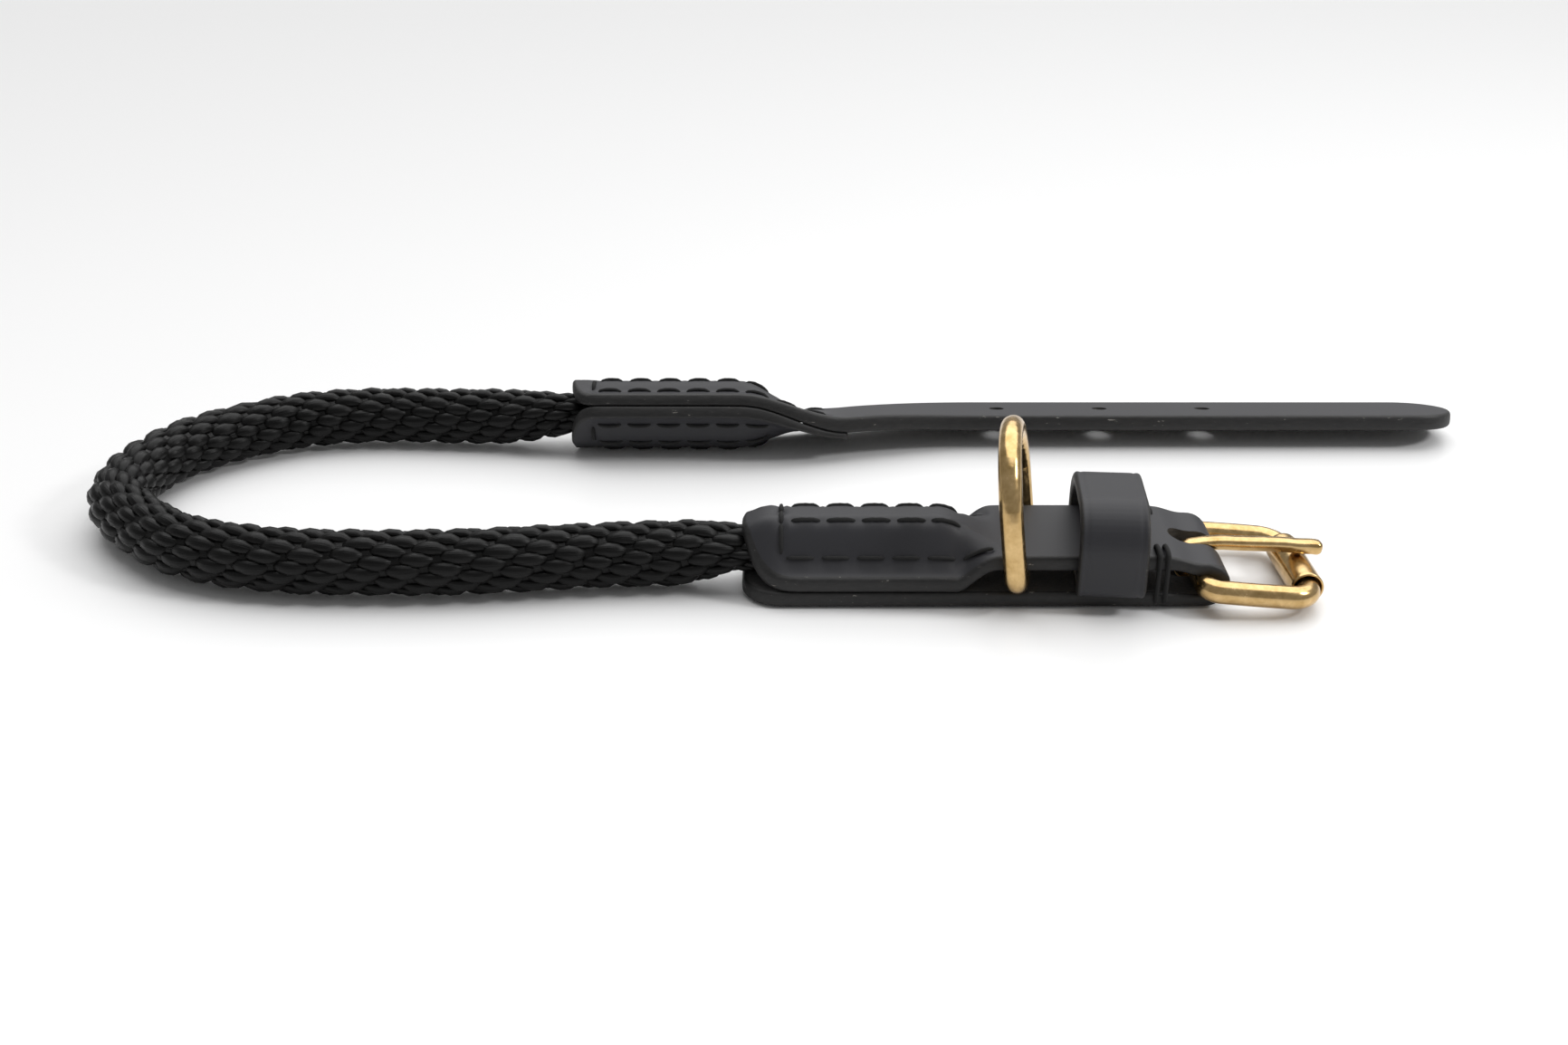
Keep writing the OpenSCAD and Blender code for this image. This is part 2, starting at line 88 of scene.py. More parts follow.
def mix(a: Array | float, b: Array | float, t: Array | float) -> Array:
    """Return the value a share t of the way from a to b."""
    return a + (b - a) * t


def linear(code: str, alpha: float = 1.0) -> tuple[float, float, float, float]:
    """Turn an sRGB hex colour into linear red, green, blue and alpha.

    Args:
        code: Six hex digits, with or without a leading #.
        alpha: Opacity, from 0 to 1.

    Returns:
        Four linear values.
    """
    digits = code.lstrip("#")
    srgb = np.array([int(digits[k : k + 2], 16) for k in (0, 2, 4)]) / 255.0
    low, high = srgb / 12.92, ((srgb + 0.055) / 1.055) ** 2.4
    r, g, b = np.where(srgb <= 0.04045, low, high)
    return float(r), float(g), float(b), alpha


# ---- Materials ----------------------------------------------------------------------------------------------------


def set_inputs(tree: bpy.types.NodeTree, node: bpy.types.Node, inputs: dict[Any, Any]) -> None:
    """Give each named or numbered socket of a node its value, or the output socket that it takes."""
    for key, value in inputs.items():
        if isinstance(value, bpy.types.NodeSocket):
            tree.links.new(value, node.inputs[key])
        else:
            node.inputs[key].default_value = value


def add_node(
    tree: bpy.types.NodeTree, kind: str, inputs: dict[Any, Any] | None = None, **settings: Any
) -> bpy.types.Node:
    """Add one node with its settings, its values and its links.

    Args:
        tree: The node tree that takes the node.
        kind: Blender's name for the node's type.
        inputs: Socket name or number, and the value or the output socket that it takes.
        **settings: Properties of the node itself.

    Returns:
        The new node.
    """
    node = tree.nodes.new(kind)
    for name, value in settings.items():
        setattr(node, name, value)
    set_inputs(tree, node, inputs or {})
    return node


def add_noise(
    tree: bpy.types.NodeTree,
    place: bpy.types.NodeSocket,
    scale: float,
    detail: float,
    rough: float = 0.5,
    distortion: float = 0.0,
) -> bpy.types.NodeSocket:
    """Add a noise pattern and return its value."""
    inputs = {"Vector": place, "Scale": scale, "Detail": detail, "Roughness": rough, "Distortion": distortion}
    return add_node(tree, "ShaderNodeTexNoise", inputs).outputs[0]


def add_ramp(
    tree: bpy.types.NodeTree, value: bpy.types.NodeSocket, stops: Sequence[tuple[float, str]]
) -> bpy.types.NodeSocket:
    """Add a colour ramp with stops, each a place and an sRGB hex colour, and return its colour."""
    node = add_node(tree, "ShaderNodeValToRGB", {"Fac": value})
    ramp = node.color_ramp
    while len(ramp.elements) < len(stops):
        ramp.elements.new(0.5)
    for element, (place, colour) in zip(ramp.elements, stops):
        element.position, element.color = place, linear(colour)
    return node.outputs[0]


def add_gloss(
    tree: bpy.types.NodeTree, value: bpy.types.NodeSocket, rough: tuple[float, float]
) -> bpy.types.NodeSocket:
    """Spread the middle of a noise pattern over a range of roughness, and return it."""
    inputs = {"Value": value, "From Min": 0.3, "From Max": 0.7, "To Min": rough[0], "To Max": rough[1]}
    return add_node(tree, "ShaderNodeMapRange", inputs).outputs[0]


def add_relief(
    tree: bpy.types.NodeTree,
    height: bpy.types.NodeSocket,
    strength: float,
    depth_mm: float,
    **inputs: bpy.types.NodeSocket,
) -> bpy.types.NodeSocket:
    """Add a bump of a depth in mm, and return its normal."""
    values = {"Height": height, "Strength": strength, "Distance": depth_mm * MM, **inputs}
    return add_node(tree, "ShaderNodeBump", values).outputs[0]


class Finish:
    """A surface finish. A subclass names the material and wires its nodes."""

    name: str = "finish"

    def material(self) -> bpy.types.Material:
        """Return the material, made once and then shared."""
        found = bpy.data.materials.get(self.name)
        if found:
            return found
        made = bpy.data.materials.new(self.name)
        made.use_nodes = True
        tree = made.node_tree
        tree.nodes.clear()
        shader = add_node(tree, "ShaderNodeBsdfPrincipled")
        add_node(tree, "ShaderNodeOutputMaterial", {"Surface": shader.outputs["BSDF"]})
        set_inputs(tree, shader, self.wire(tree))
        return made

    def wire(self, tree: bpy.types.NodeTree) -> dict[Any, Any]:
        """Make the pattern and return what the shader's sockets take. A subclass does this."""
        raise NotImplementedError

    def body(self, tree: bpy.types.NodeTree) -> bpy.types.NodeSocket:
        """Return the object's own coordinates, in metres."""
        return add_node(tree, "ShaderNodeTexCoord").outputs["Object"]

    def along(
        self, tree: bpy.types.NodeTree, scale: tuple[float, float, float], turn: float = 0.0
    ) -> bpy.types.NodeSocket:
        """Return the surface's own coordinates, in mm, turned and scaled."""
        place = add_node(tree, "ShaderNodeUVMap", uv_map="UVMap").outputs["UV"]
        inputs = {"Vector": place, "Rotation": (0, 0, turn), "Scale": scale}
        return add_node(tree, "ShaderNodeMapping", inputs).outputs[0]


@dataclass(frozen=True)
class BraidedYarn(Finish):
    """Multifilament polyester cord, braided and dyed black: long soft filaments with a low silky gloss."""

    name: str = "braided_polyester"
    dark: str = "#050505"
    light: str = "#0f0e0e"
    filament_mm: float = 0.32  # real filaments are far finer; this is as coarse as they need to be to show
    streak_mm: float = 5.0
    cloud_mm: float = 7.692
    rough: tuple[float, float] = (0.3, 0.46)

    def wire(self, tree: bpy.types.NodeTree) -> dict[Any, Any]:
        """Streak the colour, the gloss and the relief along each yarn."""
        along = self.along(tree, (1 / self.streak_mm, 1 / self.filament_mm, 1))
        hairs = add_noise(tree, along, 1.0, 3.0, 0.6)
        cloud = add_noise(tree, self.body(tree), 1000 / self.cloud_mm, 2.0)
        blend = add_node(tree, "ShaderNodeMath", {0: hairs, 1: cloud}, operation="MULTIPLY").outputs[0]
        return {
            "Base Color": add_ramp(tree, blend, [(0.14, self.dark), (0.42, self.light)]),
            "Roughness": add_gloss(tree, hairs, self.rough),
            "Normal": add_relief(tree, hairs, 0.55, 0.16),
            "IOR": 1.57,
            "Specular IOR Level": 0.17,
        }


@dataclass(frozen=True)
class BridleLeather(Finish):
    """Vegetable-tanned bridle leather, dyed black, stuffed with wax and glassed: a close grain with a satin face."""

    name: str = "bridle_leather"
    dark: str = "#050505"
    light: str = "#0b0b0b"
    grain_mm: float = 0.55  # pores are about 0.2 mm; this is the finest that shows
    haze_mm: float = 14.0
    crease_mm: float = 3.846
    rough: tuple[float, float] = (0.34, 0.5)

    def wire(self, tree: bpy.types.NodeTree) -> dict[Any, Any]:
        """Give the grain its relief, and cloud the colour and the gloss with the wax."""
        body = self.body(tree)
        cells_in = {"Vector": body, "Scale": 1000 / self.grain_mm, "Randomness": 1.0}
        cells = add_node(tree, "ShaderNodeTexVoronoi", cells_in, feature="SMOOTH_F1").outputs["Distance"]
        pores = add_noise(tree, body, 1400 / self.grain_mm, 3.0)
        grain = add_node(tree, "ShaderNodeMath", {0: cells, 1: pores}, operation="ADD").outputs[0]
        haze = add_noise(tree, body, 1000 / self.haze_mm, 4.0, 0.6)
        creases = add_noise(tree, body, 1000 / self.crease_mm, 2.0, distortion=0.4)
        relief = add_relief(tree, grain, 0.22, 0.12)
        return {
            "Base Color": add_ramp(tree, haze, [(0.3, self.dark), (0.7, self.light)]),
            "Roughness": add_gloss(tree, haze, self.rough),
            "Normal": add_relief(tree, creases, 0.25, 0.4, Normal=relief),
            "IOR": 1.4,
            "Specular IOR Level": 0.12,
        }


@dataclass(frozen=True)
class DyedEdge(Finish):
    """Cut leather edge, bevelled, dyed and burnished: fibres closed to a dull dark face, with pale flecks left."""

    name: str = "burnished_leather_edge"
    dark: str = "#0d0d0d"
    light: str = "#1c1b1b"
    fleck: str = "#84807a"
    fibre_mm: float = 0.8

    def wire(self, tree: bpy.types.NodeTree) -> dict[Any, Any]:
        """Lay long fibres over the edge, and let a few pale ones through."""
        inputs = {"Vector": self.body(tree), "Scale": (0.35, 1.0, 1.3)}
        along = add_node(tree, "ShaderNodeMapping", inputs).outputs[0]
        fibre = add_noise(tree, along, 1000 / self.fibre_mm, 4.0, 0.65)
        stops = [(0.3, self.dark), (0.6, self.light), (0.67, self.light), (0.72, self.fleck)]
        return {
            "Base Color": add_ramp(tree, fibre, stops),
            "Normal": add_relief(tree, fibre, 0.4, 0.2),
            "Roughness": 0.55,
            "IOR": 1.5,
        }


@dataclass(frozen=True)
class FleshSide(Finish):
    """The hide's inner face, dyed through: a short matt nap."""

    name: str = "leather_flesh_side"
    dark: str = "#121111"
    light: str = "#2a2827"
    nap_mm: float = 0.7

    def wire(self, tree: bpy.types.NodeTree) -> dict[Any, Any]:
        """Give the nap its mottled colour and relief."""
        nap = add_noise(tree, self.body(tree), 1000 / self.nap_mm, 5.0, 0.7)
        return {
            "Base Color": add_ramp(tree, nap, [(0.3, self.dark), (0.7, self.light)]),
            "Normal": add_relief(tree, nap, 0.5, 0.3),
            "Roughness": 0.8,
            "Sheen Weight": 0.2,
        }


@dataclass(frozen=True)
class PolishedBrass(Finish):
    """Drawn brass wire, bent, brazed and polished: warm and bright, with a soft haze of polishing marks."""

    name: str = "polished_brass"
    bright: str = "#dcbc88"
    deep: str = "#b5955f"
    rough: tuple[float, float] = (0.17, 0.28)
    mark_mm: float = 2.2

    def wire(self, tree: bpy.types.NodeTree) -> dict[Any, Any]:
        """Cloud the colour and the gloss with polishing marks."""
        haze = add_noise(tree, self.body(tree), 1000 / self.mark_mm, 5.0, 0.65)
        return {
            "Base Color": add_ramp(tree, haze, [(0.3, self.deep), (0.7, self.bright)]),
            "Roughness": add_gloss(tree, haze, self.rough),
            "Normal": add_relief(tree, haze, 0.08, 0.2),
            "Metallic": 1.0,
        }


@dataclass(frozen=True)
class WaxedThread(Finish):
    """Braided polyester thread, waxed: black, with a dull gloss on each ply."""

    name: str = "waxed_thread"
    dark: str = "#0a0a0a"
    light: str = "#262626"
    ply_mm: float = 0.5
    lay: float = 0.7  # radians between the plies and the thread

    def wire(self, tree: bpy.types.NodeTree) -> dict[Any, Any]:
        """Run fine slanting plies along each stitch."""
        along = self.along(tree, (1 / self.ply_mm, 1 / self.ply_mm, 1), self.lay)
        wave = {"Vector": along, "Scale": 0.35, "Distortion": 0.6, "Detail": 1.0}
        plies = add_node(tree, "ShaderNodeTexWave", wave).outputs["Fac"]
        return {
            "Base Color": add_ramp(tree, plies, [(0.1, self.dark), (0.9, self.light)]),
            "Normal": add_relief(tree, plies, 0.5, 0.1),
            "Roughness": 0.45,
        }


@dataclass(frozen=True)
class StudioTable(Finish):
    """White laminate table top: smooth, so that it holds a faint reflection."""

    name: str = "white_laminate"
    colour: str = "#f7f7f7"

    def wire(self, tree: bpy.types.NodeTree) -> dict[Any, Any]:
        """Return the plain white face."""
        return {"Base Color": linear(self.colour), "Roughness": 0.32, "Specular IOR Level": 0.35}


class Slot(Enum):
    """The record's material slots."""

    ROPE = "braided_rope"
    LEATHER = "bridle_leather"
    WIRE = "brass_wire"
    TUBE = "brass_tube"
    THREAD = "waxed_thread"


# ---- Meshes -------------------------------------------------------------------------------------------------------


@dataclass
class Surface:
    """Grids of points gathered into one mesh. Points that meet are merged, which closes seams and poles."""

    points: list[Array] = field(default_factory=list)
    corners: list[NDArray[np.int64]] = field(default_factory=list)
    uvs: list[Array] = field(default_factory=list)
    slots: list[NDArray[np.int64]] = field(default_factory=list)
    count: int = 0

    def add(self, points: Array, uv: Array, slot: int | NDArray[np.int64] = 0) -> None:
        """Add one grid, or a stack of grids of one size.

        Args:
            points: Places in mm, shaped (rows, columns, 3) or (grids, rows, columns, 3).
            uv: Places on the material in mm, shaped as the points but with 2 in place of 3.
            slot: The material's number for all faces, or one for each face across a row.
        """
        if points.ndim == 3:
            points, uv = points[None], uv[None]
        grids, n, m, _ = points.shape
        index = np.arange(grids * n * m).reshape(grids, n, m)
        sides = [index[:, :-1, :-1], index[:, 1:, :-1], index[:, 1:, 1:], index[:, :-1, 1:]]
        quads = np.stack(sides, axis=-1).reshape(-1, 4)
        self.uvs.append(uv.reshape(-1, 2)[quads.ravel()])
        self.slots.append(np.broadcast_to(np.asarray(slot), (grids, n - 1, m - 1)).ravel())
        self.points.append(points.reshape(-1, 3))
        self.corners.append(quads + self.count)
        self.count += grids * n * m

    def to_object(self, name: str, finishes: Sequence[Finish], crease: float = 40.0) -> bpy.types.Object:
        """Make the object, with merged points, outward faces and smooth shading.

        Args:
            name: The object's name.
            finishes: The finishes, in the order of the faces' numbers.
            crease: The angle in degrees past which an edge stays sharp.

        Returns:
            The new object, linked into the scene at the origin.
        """
        mesh = bpy.data.meshes.new(name)
        mesh.from_pydata(np.concatenate(self.points) * MM, [], np.concatenate(self.corners).tolist())
        layer = mesh.uv_layers.new(name="UVMap")
        layer.data.foreach_set("uv", np.concatenate(self.uvs).ravel())
        for finish in finishes:
            mesh.materials.append(finish.material())
        mesh.polygons.foreach_set("material_index", np.concatenate(self.slots).astype(np.int32))
        shape = bmesh.new()
        shape.from_mesh(mesh)
        bmesh.ops.remove_doubles(shape, verts=shape.verts, dist=WELD_M)
        bmesh.ops.recalc_face_normals(shape, faces=shape.faces)
        shape.to_mesh(mesh)
        shape.free()
        mesh.polygons.foreach_set("use_smooth", np.ones(len(mesh.polygons), dtype=bool))
        mesh.set_sharp_from_angle(angle=radians(crease))
        made = bpy.data.objects.new(name, mesh)
        bpy.context.scene.collection.objects.link(made)
        return made


def place_piece(piece: bpy.types.Object, body: str | None, nodes: Sequence[str]) -> None:
    """Ride a piece on its body, let it stand for its CAD nodes and log it."""
    if body:
        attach(piece, body)
    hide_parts(*nodes)
    log.info("%s: %d faces", piece.name, len(piece.data.polygons))


def smooth_path(points: Array, step: float) -> tuple[Array, Array]:
    """Carry one smooth Catmull-Rom curve through points, with all their values.

    On each span the curve is the cubic that passes both ends with the slope of their outer neighbours.

    Args:
        points: Route points, shaped (count, values), the first three values a place.
        step: Distance between the new points.

    Returns:
        The new points evenly spaced, and the distance of each from the start.
    """
    outer = np.concatenate([[2 * points[0] - points[1]], points, [2 * points[-1] - points[-2]]])
    t = np.linspace(0, 1, 24, endpoint=False)[None, :, None]
    a, b, c, d = (outer[k : len(outer) - 3 + k][:, None, :] for k in range(4))
    spans = 0.5 * (2 * b + (c - a) * t + (2 * a - 5 * b + 4 * c - d) * t**2 + (3 * b - 3 * c + d - a) * t**3)
    fine = np.concatenate([spans.reshape(-1, points.shape[1]), points[-1:]])
    reach = np.concatenate([[0], np.cumsum(np.linalg.norm(np.diff(fine[:, :3], axis=0), axis=1))])
    marks = np.linspace(0, reach[-1], max(2, int(round(reach[-1] / step)) + 1))
    return np.stack([np.interp(marks, reach, column) for column in fine.T], axis=1), marks


def unit(v: Array) -> Array:
    """Return vectors scaled to length 1."""
    return v / np.linalg.norm(v, axis=-1, keepdims=True)


def tube(
    path: Array, radius: float | Array, sides: int, closed: bool, up: tuple[float, float, float] = (0.0, 0.0, 1.0)
) -> tuple[Array, Array]:
    """Carry a round section along a path. Each point is the path's plus the radius times its direction.

    Args:
        path: Centre points in mm, shaped (rows, 3).
        radius: One radius, or one for each row.
        sides: Points round the section.
        closed: Whether the path ends where it starts.
        up: A direction that's never along the path.

    Returns:
        The grid of points, and its places along and round the tube in mm.
    """
    if closed:
        ring = np.concatenate([path[-2:-1], path, path[1:2]])
        ahead = unit(ring[2:] - ring[:-2])
    else:
        ahead = unit(np.gradient(path, axis=0))
    side = unit(np.cross(ahead, np.asarray(up)))
    over = np.cross(side, ahead)
    turn = np.linspace(0, 2 * np.pi, sides + 1)
    size = np.broadcast_to(np.asarray(radius, dtype=float), (len(path),))[:, None, None]
    grid = path[:, None] + size * (np.cos(turn)[:, None] * side[:, None] + np.sin(turn)[:, None] * over[:, None])
    reach = np.concatenate([[0], np.cumsum(np.linalg.norm(np.diff(path, axis=0), axis=1))])
    uv = np.stack(np.broadcast_arrays(reach[:, None], turn[None] * size[:, :, 0]), axis=-1)
    return grid, uv


def rounded_loop(corners: Sequence[tuple[float, float, float, float, float]], step: float = 0.5) -> Array:
    """Draw a closed plane outline from arcs joined by straight runs.

    Args:
        corners: For each arc its centre a and b, its radius, and its first and last angle in degrees.
        step: The longest distance between two points.

    Returns:
        Points (a, b), the last equal to the first.
    """
    pieces = []
    for a, b, r, first, last in corners:
        turn = np.radians(np.linspace(first, last, max(6, int(abs(last - first) / 7))))
        pieces.append(np.stack([a + r * np.cos(turn), b + r * np.sin(turn)], axis=1))
    outline = np.concatenate(pieces + [pieces[0][:1]])
    reach = np.concatenate([[0], np.cumsum(np.linalg.norm(np.diff(outline, axis=0), axis=1))])
    marks = np.unique(np.concatenate([reach, np.linspace(0, reach[-1], int(reach[-1] / step))]).round(3))
    return np.stack([np.interp(marks, reach, column) for column in outline.T], axis=1)


# ---- Straps -------------------------------------------------------------------------------------------------------

RIM_ROWS = 5  # rows of faces from a strap's face to the middle of its cut edge
EDGE_ROUND = 0.62  # share of half the thickness that the edge's rounding takes


@dataclass(frozen=True)
class StrapCut:
    """A strap's outline as cut, with rounded ends and openings on its middle line, in mm along and across."""

    start: float
    end: float
    half: float
    start_round: float
    end_round: float
    slots: tuple[tuple[float, float, float], ...] = ()  # first and last place along, and half width
    step: float = 0.8
    bevel: float = 0.75

    def opening(self, s: Array) -> Array:
        """Return the half width of the opening at each place: a round at both ends and straight between."""
        wide = np.zeros_like(s)
        for first, last, r in self.slots:
            inset = np.clip(np.minimum(s - first, last - s), 0, r)
            wide = np.maximum(wide, np.sqrt(np.maximum(r * r - (r - inset) ** 2, 0)))
        return wide

    def rows(self) -> tuple[Array, Array, Array]:
        """Lay out the rows across half of the strap.

        Each row runs from the middle line, or from an opening's wall, out to the cut edge. Past the straight run the
        rows fan out from one point on the middle line and sweep round the end.

        Returns:
            The inner points, the points on the cut edge, and the edge's inward directions, each shaped (rows, 2).
        """
        low, high = self.start + self.start_round, self.end - self.end_round
        marks = [np.linspace(low, high, int((high - low) / self.step) + 1)]
        for first, last, r in self.slots:
            swing = r * (1 - np.cos(np.radians(np.linspace(0, 90, 8))))
            marks += [first + swing, last - swing]
        s = np.unique(np.concatenate(marks).round(4))
        s = s[(s >= low) & (s <= high)]
        zero, one = np.zeros_like(s), np.ones_like(s)
        pairs = ((s, self.opening(s)), (s, self.half * one), (zero, -one))
        inner, edge, inward = (np.stack(pair, axis=1) for pair in pairs)
        for sign, at, r in ((-1, low, self.start_round), (1, high, self.end_round)):
            turn = np.radians(np.linspace(0, 90, 13))[1:]
            flat = np.linspace(self.half - r, 0, max(2, int((self.half - r) / 0.6) + 1))[1:]
            rim = np.stack([at + sign * r * np.sin(turn), self.half - r + r * np.cos(turn)], axis=1)
            away = np.stack([-sign * np.sin(turn), -np.cos(turn)], axis=1)
            if self.half - r > 0.05:
                rim = np.concatenate([rim, np.stack([np.full_like(flat, at + sign * r), flat], axis=1)])
                away = np.concatenate([away, np.tile([[-sign, 0.0]], (len(flat), 1))])
            hub = np.tile([[at, 0.0]], (len(rim), 1))
            added = ((hub, inner), (rim, edge), (away, inward))
            if sign < 0:
                inner, edge, inward = (np.concatenate([new[::-1], old]) for new, old in added)
            else:
                inner, edge, inward = (np.concatenate([old, new]) for new, old in added)
        return inner, edge, inward

    def fill(self, surface: Surface, place: Place, across: int = 22) -> None:
        """Build the strap's closed skin: its grain face, its rounded edge, its flesh face and its openings' walls.

        Args:
            surface: The mesh that takes the grids.
            place: Turns a place along, across (mm) and through (0 at the flesh face, 1 at the grain) into a point.
            across: Points from the middle line to the edge's rounding.
        """
        inner, edge, inward = self.rows()
        share = np.linspace(0, 1, across)
        turn = np.radians(np.linspace(90, 0, RIM_ROWS + 1))[1:]
        face = inner[:, None] + (edge + inward * self.bevel - inner)[:, None] * share[None, :, None]
        rim = edge[:, None] + inward[:, None] * (self.bevel * (1 - np.cos(turn)))[None, :, None]
        upper = np.concatenate([face, rim], axis=1)
        flat = np.concatenate([upper, upper[:, -2::-1]], axis=1)
        depth = 0.5 * (1 - EDGE_ROUND * (1 - np.sin(turn)))
        depth[-1] = 0.0
        through = np.concatenate([np.full(across, 0.5), depth])
        k = np.broadcast_to(0.5 + np.concatenate([through, -through[-2::-1]]), flat.shape[:2])
        slots = np.array([0] * (across - 1) + [1] * (2 * RIM_ROWS) + [2] * (across - 1))
        for sign in (1.0, -1.0):
            grid = place(flat[..., 0], sign * flat[..., 1], k)
            surface.add(grid, flat * [1.0, sign], slots)
            wall_rows = inner[:, 1] > 1e-4
            pair = np.stack([grid[:, 0], grid[:, -1]], axis=1)
            starts = np.flatnonzero(wall_rows[:-1] | wall_rows[1:])
            for run in np.split(starts, np.flatnonzero(np.diff(starts) > 1) + 1):
                if len(run):
                    rows = slice(run[0], run[-1] + 2)
                    thick = np.linspace(0, 1, 4)[None, :, None]
                    wall = pair[rows, :1] + (pair[rows, 1:] - pair[rows, :1]) * thick
                    surface.add(wall, np.broadcast_to(wall[..., :2], wall.shape[:2] + (2,)), 3)


LEATHER: tuple[Finish, ...] = (
    BridleLeather(), DyedEdge(), FleshSide(), DyedEdge(name="cut_leather_wall", dark="#2a2928", light="#4a4846"),
)


@dataclass(frozen=True)
class StrapSizes:
    """Sizes that the leather pieces share, in mm."""

    half: float = 10.0
    thick: float = 2.8
    billet: float = 3.3
    corner: float = 7.0
    press_w: float = 11.2
    press_h: float = 8.4
    edge_row: float = 7.0
    rope_row: float = 3.1
    pitch: float = 6.2
    stitch: float = 4.7


STRAP = StrapSizes()


def rope_rise(v: Array) -> Array:
    """Return 1 over the pressed rope and 0 at the strap's edges, eased between them."""
    return 1 - ease(np.abs(v), STRAP.press_w / 2 - 3.2, STRAP.half - 0.3)


def pucker(along: Array, across: Array, stitches: Array, depth: float) -> Array:
    """Return how far the leather sinks where thread pulls it down.

    Each end of each stitch makes a dimple, depth times exp(-(distance / 0.9 mm)^2), and the whole stitch lies in a
    shallow groove of a third of that depth.

    Args:
        along: Places along the strap.
        across: Places across it.
        stitches: For each stitch the place along and across of its first and its last end.
        depth: The dimples' depth.

    Returns:
        The depth at each place.
    """
    sink = np.zeros(np.broadcast(along, across).shape)
    for a, b, c, d in stitches:
        for x, y in ((a, b), (c, d)):
            sink = np.maximum(sink, depth * np.exp(-((along - x) ** 2 + (across - y) ** 2) / 0.8))
        t = np.clip(((along - a) * (c - a) + (across - b) * (d - b)) / ((c - a) ** 2 + (d - b) ** 2), 0, 1)
        off = (along - a - t * (c - a)) ** 2 + (across - b - t * (d - b)) ** 2
        sink = np.maximum(sink, depth * 0.45 * np.exp(-off / 0.5))
    return sink


